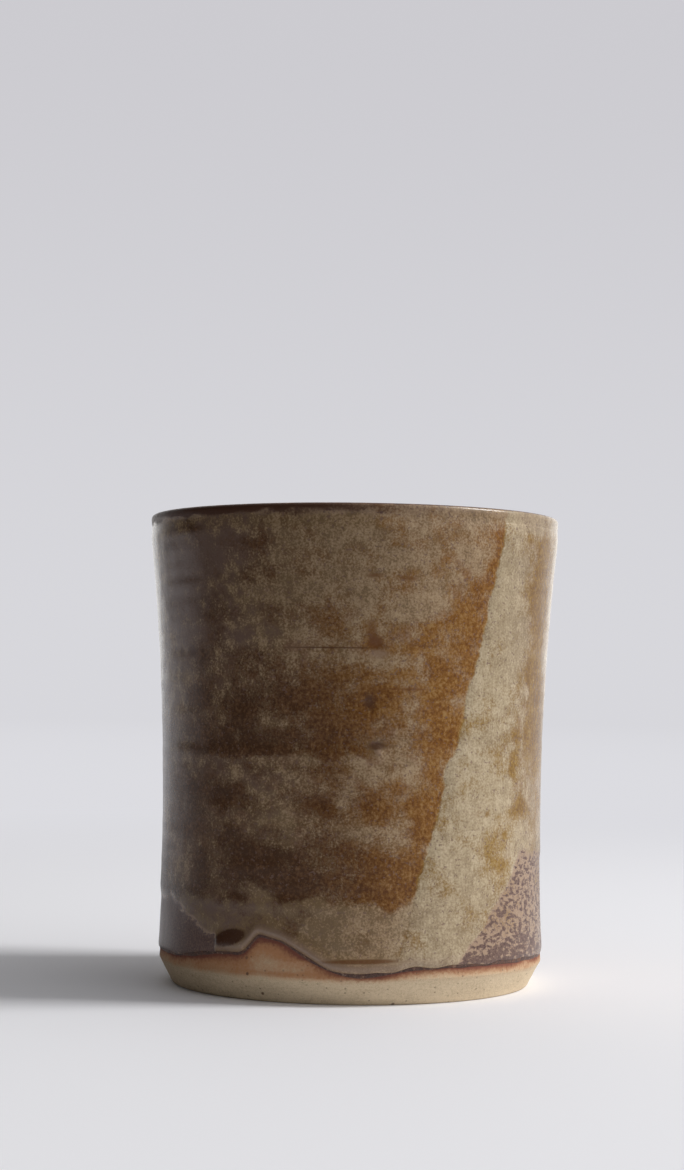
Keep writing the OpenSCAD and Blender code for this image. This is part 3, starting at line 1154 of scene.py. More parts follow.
@dataclass(frozen=True)
class GlazeMap:
    """Where the outer glazes are rusty, pale, thin, beaded or stained, by turn and height.

    Attributes:
        form: the cup's form.
        clouds: marks that add rust.
        clear: marks that take rust away.
        smears: marks of thin, purple glaze.
        stains: pooled brown marks.
        streaks: rust marks on and beside the pour.
        base: rust of the lower wall.
        beside_pour: rust that the pour's edge adds.
        most: the strongest rust.
        foot: height under which there is none, in millimetres.
        lip_stain_and_painted_shade: strength of the stain along the lip, which is stronger on the left as
            painted shade.
    """

    form: CupForm
    clouds: tuple[Mark, ...] = (
        Mark(-48, 54.6, 13, 1.6, 0.26), Mark(-18, 52.5, 14, 3.0, 0.26), Mark(-4, 53.0, 8, 3.0, 0.26),
        Mark(-46, 28.6, 13, 1.2, 0.26), Mark(-20, 24.0, 24, 5.5, 0.28), Mark(9, 21.8, 10, 3.6, 0.40),
        Mark(-20, 36.6, 5, 2.0, 0.32), Mark(-9, 35.6, 3.4, 2.0, 0.36), Mark(12, 36.0, 6, 1.6, 0.18),
        Mark(-44, 37.0, 14, 3.4, 0.34), Mark(-30, 61.0, 16, 3.0, 0.16), Mark(-8, 59.5, 11, 2.6, 0.22),
        Mark(26, 77.5, 7, 2.0, 0.28), Mark(24, 83.0, 9, 1.8, 0.24), Mark(-8, 68.5, 6, 3.4, 0.20),
        Mark(19, 66.0, 8, 6.0, 0.16),
        Mark(-24, 73.0, 8, 3.4, 0.18), Mark(24, 57.9, 10, 1.2, 0.18), Mark(-62, 49.0, 8, 1.5, 0.20),
        Mark(95, 62.0, 16, 6.0, 0.30), Mark(118, 48.0, 20, 3.0, 0.30), Mark(140, 30.0, 24, 6.0, 0.30),
        Mark(-150, 50.0, 22, 4.0, 0.28), Mark(-115, 28.0, 20, 5.0, 0.26), Mark(-165, 72.0, 16, 6.0, 0.24),
        Mark(175, 24.0, 14, 3.5, 0.28), Mark(-92, 55.0, 12, 2.0, 0.24))
    clear: tuple[Mark, ...] = (
        Mark(2, 42.0, 16, 1.9, 0.20), Mark(13, 57.2, 13, 0.9, 0.46), Mark(-30, 41.0, 30, 2.0, 0.12),
        Mark(6, 72.8, 12, 2.8, 0.22), Mark(5, 24.0, 3.6, 2.6, 0.34), Mark(29, 55.6, 3.0, 1.6, 0.60),
        Mark(8, 61.4, 6, 1.8, 0.34), Mark(-34, 32.6, 20, 1.4, 0.24), Mark(-50, 58.5, 12, 1.8, 0.20),
        Mark(-3, 31.0, 12, 2.0, 0.22), Mark(14, 31.0, 6, 3.2, 0.26), Mark(22, 70.5, 4, 1.6, 0.16),
        Mark(110, 44.0, 30, 1.2, 0.30), Mark(-130, 44.2, 34, 1.2, 0.30), Mark(170, 57.2, 24, 1.0, 0.30))
    smears: tuple[Mark, ...] = (
        Mark(-54, 80.0, 16, 6.5, 0.55), Mark(-34, 84.0, 11, 3.0, 0.40), Mark(-62, 70.0, 12, 7.0, 0.45),
        Mark(-40, 66.0, 14, 7.0, 0.34), Mark(-22, 36.2, 4.0, 1.6, 0.30), Mark(-30, 42.0, 24, 2.6, 0.26),
        Mark(-50, 33.0, 12, 2.4, 0.26), Mark(-14, 57.5, 14, 2.5, 0.20), Mark(-40, 16.0, 18, 3.0, 0.30),
        Mark(150, 80.0, 20, 4.0, 0.35), Mark(-140, 60.0, 30, 9.0, 0.30))
    stains: tuple[Mark, ...] = (Mark(142, 52.0, 2.4, 1.5, 0.60), Mark(-141, 35.0, 3.0, 1.2, 0.60))
    streaks: tuple[Mark, ...] = (
        Mark(68, 76.0, 7.0, 14.0, 0.44), Mark(66, 58.0, 8.0, 10.0, 0.34), Mark(60, 45.0, 9.0, 9.0, 0.28),
        Mark(65, 81.0, 3.5, 5.0, 0.30), Mark(69, 70.0, 3.0, 5.0, 0.26), Mark(60.5, 58.2, 2.6, 5.2, 0.20),
        Mark(52.6, 42.0, 2.0, 3.4, 0.26), Mark(58, 34.8, 8.0, 1.6, 0.20), Mark(45, 29.6, 5.0, 2.4, 0.16),
        Mark(40, 33.6, 1.6, 0.9, 0.26), Mark(36.4, 34.2, 1.8, 0.9, 0.22), Mark(52, 45.8, 6.0, 2.4, 0.14),
        Mark(42, 46.0, 5.0, 1.2, 0.22), Mark(50, 25.0, 5.0, 4.0, 0.15), Mark(57, 86.0, 6.0, 1.2, 0.20),
        Mark(33, 50.0, 4.0, 3.0, 0.04), Mark(74, 45.0, 8.0, 14.0, 0.24))
    base: float = 0.56
    beside_pour: float = 0.64
    most: float = 0.93
    foot: float = 17.4
    lip_stain_and_painted_shade: float = 1.3

    @staticmethod
    def warped(turn: Array, rise: Array) -> tuple[Array, Array]:
        """Places shifted by slow and fine unevenness, so that soft marks lose their plain outlines.

        Args:
            turn: turns round the cup, in degrees.
            rise: heights, in millimetres.

        Returns:
            Shifted turns and heights.
        """
        aside = 3.5 * Mottle(18, 9.0, 54).at(turn, rise) + 1.8 * Mottle(60, 3.0, 55).at(turn, rise)
        up = 1.4 * Mottle(26, 7.0, 56).at(turn, rise) + 0.8 * Mottle(80, 2.5, 57).at(turn, rise)
        return turn + aside, rise + up

    @staticmethod
    def band(turn: Array, rise: Array) -> Array:
        """Brown band above a scalloped crest and a pale one below, each fading away from the crest.

        The crest is a fixed height plus the size of a slow noise, so that it runs in arches with cusps
        between them.

        Args:
            turn: turns round the cup, in degrees.
            rise: heights, in millimetres.

        Returns:
            What to add to the rust.
        """
        level = np.full_like(rise, 44.0)
        arches = np.abs(Mottle(27, 60.0, 58).at(turn, level))
        crest = 43.5 + 1.9 * arches + 0.3 * Mottle(110, 60.0, 59).at(turn, level)
        over = rise - crest
        soft = 1.2 * ramp(np.abs(turn_from(turn, -20.0)), 18.0, 40.0)
        above = ramp(over, -0.3 - soft, 0.4 + soft)
        tone = 0.58 * np.exp(-np.maximum(over, 0.0) / (3.0 + 2.5 * ramp(-turn, 5.0, 35.0))) * above
        tone = tone - 0.40 * np.exp(np.minimum(over, 0.0) / 2.2) * (1.0 - above)
        front = bell(turn_from(turn, -26.0), 32.0, 30.0)
        reach = np.maximum(front, 0.6 * bell(turn_from(turn, 160.0), 50.0, 60.0))
        return tone * reach * (0.8 + 0.5 * Mottle(20, 9.0, 60).at(turn, rise))

    def edge(self, turn: Array) -> Array:
        """Height of the glaze's lower edge: the slip's line and the strip below, slightly uneven."""
        form = self.form
        return form.line(turn) + form.slip_strip * (0.85 + 0.5 * Mottle(60, 3.0, 41).level(turn))

    def thin(self, turn: Array, rise: Array) -> Array:
        """Where the glaze is thin over the slip: both lower corners and the lip.

        Each corner lies below an edge that climbs away from the front. On the right it climbs as the turn
        past 29 degrees, raised to 1.1, and falls again past the side; on the left as a broad bell.

        Args:
            turn: turns round the cup, in degrees.
            rise: heights, in millimetres.

        Returns:
            Shares from 0, thick, to 1, bare slip.
        """
        turn = turn_from(turn, 0.0)
        ragged = 0.9 * Mottle(70, 2.0, 42).at(turn, rise) + 1.4 * Mottle(24, 6.0, 43).at(turn, rise)
        right = np.clip(turn_from(turn, 29.0), 0.0, 120.0)
        right_top = 6.4 + 20.5 * np.power(np.minimum(right, 30.0) / 30.0, 1.1)
        right_top = right_top - 19.0 * ramp(right, 48.0, 90.0)
        corner = ramp(right_top + ragged * 0.8 - rise, -1.4, 1.8) * (right > 0.0)
        dense = ramp(self.edge(turn) + 3.0 + ragged - rise, -1.5, 2.5)
        corner = corner * (0.61 + 0.17 * dense) * (1.0 - ramp(right, 75.0, 115.0))
        left = turn_from(turn, -78.0)
        left_top = 12.3 + 4.4 * ramp(-turn_from(turn, -41.0), 0.0, 28.0) - 9.0 * ramp(-left, 10.0, 50.0)
        left_top = left_top + 0.7 * ragged
        left_edge = -41.2 + 0.8 * Mottle(1, 1.4, 44).column(rise)
        left_side = ramp(-turn_from(turn, left_edge), -0.6, 1.2)
        other = ramp(left_top - rise, -1.4, 1.4) * left_side * (np.abs(left) < 60.0)
        # Slip shows through the thin lip more towards the left, partly as painted shade.
        bare = 0.55 + 0.45 * bell(turn_from(turn, -40.0), 90.0, 55.0)
        lip = 0.52 * ramp(rise + 0.8 * ragged, self.form.height - 4.4, self.form.height - 1.4) * bare
        return np.clip(np.maximum(np.maximum(corner, 0.97 * other), lip), 0.0, 1.0)

    def beside(self, turn: Array, rise: Array) -> tuple[Array, Array]:
        """Distance left of the pour's edge, in millimetres, and the share that lies on the pour's side.

        Args:
            turn: turns round the cup, in degrees.
            rise: heights, in millimetres.

        Returns:
            The distance, and a share that fades out again behind the right side.
        """
        gap = np.radians(turn_from(pour_left(rise), turn)) * 37.0
        soft = 0.35 + 4.5 * ramp(19.5 - rise, 0.0, 3.0)
        return gap, ramp(-gap, -soft, soft) * (1.0 - ramp(turn, 84.0, 125.0)) * (turn > -60.0)

    def rust(self, turn: Array, rise: Array) -> Array:
        """Rust: strongest along the left edge of the pour, and in clouds banded by the throwing rings.

        Beside the pour it is e to minus the squared distance over a width that swells at two heights. The
        left has a base that falls with height. Below a ragged line, and under the lip, there is none.

        Args:
            turn: turns round the cup, in degrees.
            rise: heights, in millimetres.

        Returns:
            The field that the finish breaks into clouds.
        """
        turn = turn_from(turn, 0.0)
        gap, poured = self.beside(turn, rise)
        front = 1.0 - ramp(-turn, 90.0, 150.0)
        width = 3.4 - 2.0 * ramp(rise, 74.0, 85.0)
        width = width + 9.5 * bell(rise - 63.0, 15.0, 11.0) + 4.0 * bell(rise - 24.0, 6.0, 6.0)
        edge = self.beside_pour * np.exp(-np.square(np.maximum(gap, 0.0) / width)) * (np.abs(turn) < 80.0)
        slow = 0.11 * Mottle(22, 9.0, 48).at(turn, rise) + 0.08 * Mottle(64, 3.2, 49).at(turn, rise)
        shifted = self.warped(turn, rise)
        base = self.base - 0.21 * ramp(rise, 54.0, 68.0) - 0.15 * ramp(rise, 68.0, 82.0)
        base = base - 0.06 * front * ramp(-turn, 20.0, 60.0) * ramp(rise, 55.0, 70.0)
        base = base + 0.05 * front * ramp(-turn, 25.0, 50.0) * ramp(60.0 - rise, 0.0, 6.0)
        value = base + slow + edge + marked(self.clouds, *shifted) - marked(self.clear, *shifted)
        value = np.minimum(value + self.band(turn, rise), self.most)
        ragged = 1.2 * Mottle(70, 3.0, 50).at(turn, rise) + 1.0 * Mottle(18, 30.0, 51).at(turn, rise)
        foot = self.foot + ragged + 0.8 * bell(turn_from(turn, -27.0), 9.0, 9.0)
        value = value * ramp(rise - foot, -0.6, 1.4)
        stripe = 0.07 + 0.7 * slow + 2.5 * marked(self.streaks, *shifted)
        stripe = stripe + 0.45 * bell(gap, 0.30, 0.30)
        value = value * (1.0 - poured) + stripe * poured
        return value * (1.0 - 0.7 * ramp(rise, 84.5, 87.5))

    def shade(self, turn: Array, rise: Array) -> Array:
        """Lightness of the ground: paler on the rings and the back wash, darker up the right, and painted
        shade that darkens it to the left and low on the wall, most at the front left.

        Args:
            turn: turns round the cup, in degrees.
            rise: heights, in millimetres.

        Returns:
            Tone to add to the ground, with the middle tone at one half.
        """
        turn = turn_from(turn, 0.0)
        rings = 0.05 * bell(rise - 43.8, 0.9, 1.0) + 0.04 * bell(rise - 57.0, 0.8, 0.9)
        rings = rings + 0.05 * bell(rise - 40.5, 2.0, 1.5) - 0.05 * bell(rise - 47.5, 2.0, 2.0)
        # Painted shade: darker to the left, and in three marks on the left, where the cup lies in shade.
        left = -0.17 * ramp(-turn, -14.0, 30.0) * (1.0 - ramp(-turn, 90.0, 160.0))
        left = left - 0.10 * Mark(-52.0, 80.0, 24.0, 11.0, 1.0).at(turn, rise)
        left = left - 0.14 * Mark(-14.0, 24.0, 32.0, 6.5, 1.0).at(turn, rise, 2)
        left = left - 0.14 * Mark(-42.0, 37.0, 20.0, 6.5, 1.0).at(turn, rise)
        right = bell(turn_from(turn, 62.0) - 0.12 * (rise - 70.0), 16.0, 30.0)
        right = -0.16 * right * ramp(rise, 18.0, 60.0)
        # Painted shade: darker low on the wall, most at the front left.
        foot = 1.0 + 1.2 * bell(turn_from(turn, -40.0), 40.0, 26.0)
        foot = -0.10 * ramp(24.0 - rise, 0.0, 8.0) * foot
        back = 0.14 * bell(turn_from(turn, 178.0) - 0.4 * (rise - 45.0), 20.0, 34.0)
        slow = 0.05 * Mottle(10, 9.0, 52).at(turn, rise) + 0.05 * Mottle(30, 4.0, 53).at(turn, rise)
        return 0.5 + rings + left + right + foot + back + slow

    def fields(self, turn: Array, rise: Array) -> dict[str, Array]:
        """All the fields that the glaze finish reads.

        Args:
            turn: turns round the cup, in degrees.
            rise: heights, in millimetres.

        Returns:
            One array under each field's name.
        """
        turn = turn_from(turn, 0.0)
        thin = self.thin(turn, rise)
        poured = self.beside(turn, rise)[1]
        above = rise - self.edge(turn)
        beaded = 0.25 + 0.75 * bell(turn_from(turn, -10.0), 34.0, 28.0)
        smear_and_painted_shade = marked(self.smears, *self.warped(turn, rise))
        # Painted shade: a mauve-grey ramp over the left side, where the cup lies in shade.
        smear_and_painted_shade = smear_and_painted_shade + 0.40 * ramp(-turn, -2.0, 42.0) * (1.0 - ramp(-turn, 120.0, 175.0)) - 0.1
        uneven = Mottle(90, 1.2, 75).at(turn, rise) + Mottle(30, 3.0, 76).at(turn, rise)
        # Brown stain along the lip, made stronger towards the left as painted shade.
        lip_stain_and_painted_shade = ramp(rise + 0.6 * uneven, self.form.height - 3.0, self.form.height - 0.8)
        lip_stain_and_painted_shade = lip_stain_and_painted_shade * (0.16 + 0.84 * bell(turn_from(turn, -60.0), 90.0, 60.0))
        amber = ramp(turn + 0.25 * (rise - 45.0), -26.0, 26.0)
        return {
            "rust": self.rust(turn, rise),
            "shade": self.shade(turn, rise),
            "iron": thin,
            "smear_and_painted_shade": smear_and_painted_shade,
            "bead": 0.85 * bell(above - 0.9, 1.0, 1.0) * beaded * (1.0 - thin),
            "stain_and_painted_shade": marked(self.stains, turn, rise, 2) + self.lip_stain_and_painted_shade * lip_stain_and_painted_shade,
            "poured": poured,
            "pale": poured * (1.0 - 0.45 * ramp(turn + 0.2 * (rise - 50.0), 50.0, 66.0)),
            "amber": amber * (1.0 - ramp(turn, 95.0, 165.0))}


@dataclass
class AshGlaze(Piece):
    """Tan and rust glaze over the slip: rolled bead at its foot, runs, thin corners and stains."""

    places: GlazeMap
    columns: int = 640
    over_lip: float = 72.0
    bead_band: float = 3.0
    lumps: tuple[Mark, ...] = (
        Mark(-36.4, 11.3, 6.8, 1.4, 0.22, 0.17), Mark(6.9, 45.2, 1.5, 0.65, 0.34),
        Mark(6.9, 46.6, 2.2, 0.6, -0.12), Mark(5.5, 64.4, 2.0, 1.0, -0.13), Mark(4.4, 53.8, 1.8, 1.8, -0.12))

    def thickness(self, turn: Array, rise: Array) -> Array:
        """Thickness of the glaze: a rolled bead at the edge, thin corners, soft runs and a burst pinhole.

        With d the height above the edge, the foot of the bead is a quarter ellipse of d over its width; the
        bead is a bell round d of one millimetre; runs are slow noise; lumps are a drip, a pinhole and dents.

        Args:
            turn: turns round the cup, in degrees.
            rise: heights, in millimetres.

        Returns:
            Thickness in millimetres.
        """
        above = rise - self.places.edge(turn)
        thin = self.places.thin(turn, rise)
        full = self.form.glaze * (1.0 - 0.72 * thin)
        roll = (0.12 + 0.30 * bell(turn_from(turn, -8.0), 34.0, 26.0)) * (1.0 - 0.8 * thin)
        roll = roll * (1.0 + 0.3 * Mottle(26, 8.0, 45).level(turn))
        bead = roll * bell(above - 1.0, 0.8, 1.3)
        runs = 0.05 * Mottle(30, 14.0, 46).at(turn, rise) + 0.025 * Mottle(110, 3.0, 47).at(turn, rise)
        foot = np.clip(above / 0.8, 0.0, 1.0)
        foot = np.sqrt(1.0 - np.square(1.0 - foot))
        lumps = marked(self.lumps, turn, rise)
        top = 1.0 - ramp(rise, self.form.lip_foot - 3.0, self.form.lip_foot + 0.2)
        return 0.03 + (full + bead + runs + lumps) * foot * (0.12 + 0.88 * top)

    def outer(self, turn: Array, rise: Array) -> Array:
        """Radius of the glaze's outer face."""
        return self.form.clay(turn, rise) + self.form.slip + self.thickness(turn, rise)

    def surface(self) -> Surface:
        """Outer face from the edge to the lip, close rows at the bead, and a back face sunk into the slip.

        Returns:
            The closed surface with its fields.
        """
        form = self.form
        turn = columns_round(self.columns)
        edge = self.places.edge(turn)
        near = shares(16) ** 1.5 * self.bead_band
        start = edge + self.bead_band
        top = form.lip_foot
        rise = np.concatenate([edge + near, start + (top - start) * shares(114)[1:]])
        outside = self.outer(turn, rise)
        arc = np.square(shares(11)[1:]) * self.over_lip
        coat = (outside[-1:] - form.clay(turn, rise[-1:]) - form.slip) * (1.0 - 1.3 * arc / self.over_lip)
        lip_radius, lip_rise = form.lip(turn, arc, coat)
        outside = np.concatenate([outside, lip_radius])
        rise = np.concatenate([rise, lip_rise])
        back_rise = top + (edge - top) * shares(9)
        back = form.clay(turn, back_rise) + 0.5 * form.slip
        back[0] = back[0] - 0.6
        blank = np.zeros_like(back)
        fields = self.places.fields(turn, rise)
        fields = {label: np.concatenate([values, blank]) for label, values in fields.items()}
        weights = np.concatenate([np.full(len(rise) - 1, 1.0), np.full(len(back_rise) + 1, 0.04)])
        points = round_cup(turn, np.concatenate([outside, back]), np.concatenate([rise, back_rise]))
        return Surface(points, fields, Ends.LOOP, weights)

    def finish(self) -> bpy.types.Material:
        """Mottled tan and rust."""
        dark = (0.080, 0.030, 0.013)
        brown = (0.165, 0.058, 0.014)
        lilac_and_painted_highlight = (0.360, 0.240, 0.165)
        dabs = (
            Dab(-36.4, 11.3, 3.7, 1.45, (0.062, 0.024, 0.011), 0.96, 15.0, 0.16, 0.5),
            Dab(3.2, 8.1, 6.8, 0.42, (0.140, 0.058, 0.020), 0.85, 1.0, 0.4, 1.2),
            Dab(-6.8, 63.9, 7.4, 0.13, dark, 0.75, 0.0, 0.6, 2.4),
            Dab(5.6, 65.0, 1.3, 1.15, brown, 0.85, 0.0, 0.35, 1.2),
            Dab(4.6, 67.0, 0.8, 1.9, brown, 0.55, 0.0, 0.5, 2.0),
            Dab(6.6, 62.9, 2.0, 0.8, (0.33, 0.225, 0.15), 0.6, 0.0, 0.5, 1.2),
            Dab(4.3, 54.2, 0.95, 1.5, dark, 0.75, 8.0, 0.5, 1.8),
            Dab(6.6, 46.4, 1.7, 0.75, dark, 0.8, 0.0, 0.5, 1.4),
            # Lilac spot on the burst pinhole: its pinkish colour and a painted highlight.
            Dab(6.9, 45.3, 0.60, 0.45, lilac_and_painted_highlight, 0.60, 0.0, 0.5, 1.6),
            Dab(-58.2, 63.1, 0.8, 1.5, dark, 0.7, 0.0, 0.5, 1.6),
            Dab(-52.6, 63.4, 1.3, 1.3, dark, 0.7, 0.0, 0.5, 1.8),
            Dab(-55.6, 63.2, 0.6, 0.8, (0.30, 0.21, 0.14), 0.5, 0.0, 0.5, 1.6),
            Dab(5.2, 76.9, 1.7, 0.42, brown, 0.75, 4.0, 0.5, 2.0),
            Dab(14.1, 76.5, 2.0, 0.40, brown, 0.75, -3.0, 0.5, 2.0),
            Dab(-39.6, 77.0, 1.0, 0.7, dark, 0.5, 0.0, 0.5, 1.6),
            Dab(14.0, 56.6, 4.4, 0.20, brown, 0.6, 0.0, 0.5, 1.6))
        return GlazeFinish("ash glaze", dabs=dabs).make()


@dataclass
class PalePour(Piece):
    """Pale glaze poured over the ash glaze in a slanting stripe, crisp at its left and soft at its right."""

    under: AshGlaze
    across: int = 150
    up: int = 250
    first: float = 8.0
    lift: float = 1.2
    seated: float = 0.03
    proud: float = 0.07
    sunk: float = 0.05

    def right(self, rise: Array) -> Array:
        """Turn of the right edge: near the side above, and along the thin corner below.

        Args:
            rise: heights, in millimetres.

        Returns:
            Turns in degrees.
        """
        side = 72.0 - 0.13 * (88.0 - rise) + 1.2 * Mottle(1, 6.0, 63).column(rise)
        corner = 29.5 + 31.0 * np.power(np.clip((rise - 6.6) / 20.0, 0.0, 3.0), 0.9)
        return np.minimum(side, corner)

    def surface(self) -> Surface:
        """Outer face from edge to edge and a back face sunk into the ash glaze, joined round the border.

        Across, the pour rises over its first tenth on the left and thins over its last third on the right;
        up, it rises over its first two millimetres and thins towards the lip.

        Returns:
            The closed surface with its fields.
        """
        form = self.form
        places = self.under.places
        share = np.linspace(0.0, 1.0, self.across)[None, :]
        share_up = shares(self.up)
        last = form.lip_foot - 0.4
        level = self.first + (last - self.first) * share_up
        left = pour_left(level)
        turn = left + (self.right(level) - left) * share
        foot = places.edge(turn) + self.lift
        rise = foot + (last - foot) * share_up
        body = ramp(share, 0.0, 0.10) * (1.0 - ramp(share, 0.62, 1.0))
        body = body * ramp(rise - foot, 0.0, 2.0) * (1.0 - 0.8 * ramp(rise, last - 6.0, last))
        body = body * (0.8 + 0.25 * Mottle(60, 4.0, 64).at(turn, rise))
        sides = np.minimum(ramp(share, 0.0, 0.02), ramp(1.0 - share, 0.0, 0.02))
        border = sides * ramp(share_up, 0.0, 0.012) * ramp(1.0 - share_up, 0.0, 0.006)
        seat = self.under.outer(turn, rise) - self.seated
        body = body * (0.25 + 0.75 * ramp(rise, 14.0, 26.0))
        front = seat + self.proud * border + form.pour * body * border
        radius = np.concatenate([front, seat - self.sunk * border])
        turn = np.concatenate([turn, turn])
        rise = np.concatenate([rise, rise])
        weights = np.concatenate([np.ones(self.up), np.full(self.up - 1, 0.05)])
        return Surface(round_cup(turn, radius, rise), places.fields(turn, rise), Ends.PILLOW, weights)

    def finish(self) -> bpy.types.Material:
        """Pale speckled tan."""
        return GlazeFinish("pale pour").make()


@dataclass
class LinerGlaze(Piece):
    """Glaze inside the cup: wall with throwing rings, turned corner and a pooled floor."""

    columns: int = 400
    ring_step: float = 6.5
    swirl_step: float = 5.2
    sunk: float = 0.15
    floor_sunk: float = 0.75

    def surface(self) -> Surface:
        """Inner face from the top edge to the middle of the floor and a back face sunk into the clay.

        The wall follows the form's inner arc with a spiral of throwing rings, the corner a quarter circle and
        the floor a spiral that sinks to a small button in the middle.

        Returns:
            The closed surface with its fields.
        """
        form = self.form
        turn = columns_round(self.columns)
        even = np.zeros_like(turn)
        turn_top = form.floor_height + form.turn_radius
        down = np.linspace(form.liner_top + 0.05, turn_top, 120)[:, None]
        arc = np.radians(np.linspace(0.0, 90.0, 34)[1:, None])
        corner = float(form.inner(np.array(turn_top))) - form.turn_radius
        floor = np.linspace(corner, 0.0, 46)[1:, None]
        spiral = 2.0 * np.pi * down / self.ring_step + np.radians(turn)
        ring = 0.13 * np.sin(spiral) + 0.05 * np.sin(2.0 * spiral + 1.0)
        ring = ring * ramp(form.liner_top - down, 1.0, 9.0) + 0.05 * Mottle(22, 6.0, 71).at(turn, down)
        edge = ramp(form.liner_top - down, 0.0, 0.9)
        wall = form.inner(down) - form.slip - (form.liner - form.slip) * edge + ring * edge
        swirl = 2.0 * np.pi * floor / self.swirl_step - np.radians(turn)
        swirl = 0.16 * np.sin(swirl) * ramp(floor, 1.0, 5.0)
        dish = 0.7 * ramp(corner - floor, 0.0, corner) - 0.5 * bell(floor, 3.4, 3.4)
        start_ring = ring[-1:] * np.cos(arc)
        bend = form.turn_radius - form.liner
        corner_radius = corner + bend * np.cos(arc) + start_ring
        lift = swirl[:1] * np.sin(arc) * ramp(np.degrees(arc), 40.0, 90.0)
        corner_rise = turn_top - bend * np.sin(arc) + lift
        floor_rise = form.floor_height + form.liner - dish * 0.5 + swirl
        radius = np.concatenate([wall, corner_radius, floor + even])
        rise = np.concatenate([down + even, corner_rise, floor_rise])
        rise[-1:] = rise[-1:].mean()
        back_floor = np.linspace(0.0, corner, 8)[:, None] + even
        back_arc = arc[::-1][::3] + even
        back_wall = np.linspace(turn_top, form.liner_top, 20)[:, None] + even
        back_bend = form.turn_radius + self.sunk
        back_radius = np.concatenate([back_floor, corner + back_bend * np.cos(back_arc),
                                      form.inner(back_wall) + self.sunk])
        back_rise = np.concatenate([np.full_like(back_floor, form.floor_height - self.floor_sunk),
                                    turn_top - back_bend * np.sin(back_arc), back_wall])
        radius = np.concatenate([back_radius, radius])
        rise = np.concatenate([back_rise, rise])
        pool = ramp(16.0 - rise, 0.0, 9.0)
        shade = 0.5 + 0.08 * Mottle(12, 8.0, 72).at(turn, rise) - 0.16 * pool
        rust = 0.22 + 0.22 * Mottle(18, 5.0, 73).at(turn, rise) + 0.35 * bell(rise - 84.5, 3.0, 2.0)
        ragged = rise + 0.9 * Mottle(60, 2.0, 74).at(turn, rise)
        iron = 0.85 * ramp(ragged, form.liner_top - 3.4, form.liner_top)
        blank = np.zeros_like(radius)
        fields = {"rust": rust, "shade": shade, "iron": iron, "bead": 0.5 * pool, "stain_and_painted_shade": blank,
                  "pale": blank + 0.35, "amber": blank + 0.6, "poured": blank + 0.4, "smear_and_painted_shade": blank}
        hidden = len(back_radius)
        weights = np.concatenate([np.full(hidden, 0.04), np.full(len(radius) - hidden - 1, 1.0)])
        return Surface(round_cup(turn, radius, rise), fields, Ends.POLES, weights)

    def finish(self) -> bpy.types.Material:
        """Tan liner, greyer where it pools."""
        return GlazeFinish("liner glaze", bead=(0.245, 0.205, 0.135), rough=0.20).make()


@dataclass(frozen=True)
class Glow:
    """Soft light from about one direction.

    Attributes:
        towards: the direction.
        low: cosine to the direction at which the light starts.
        high: cosine at which it is full.
        most: its full strength.
    """

    towards: tuple[float, float, float]
    low: float
    high: float
    most: float


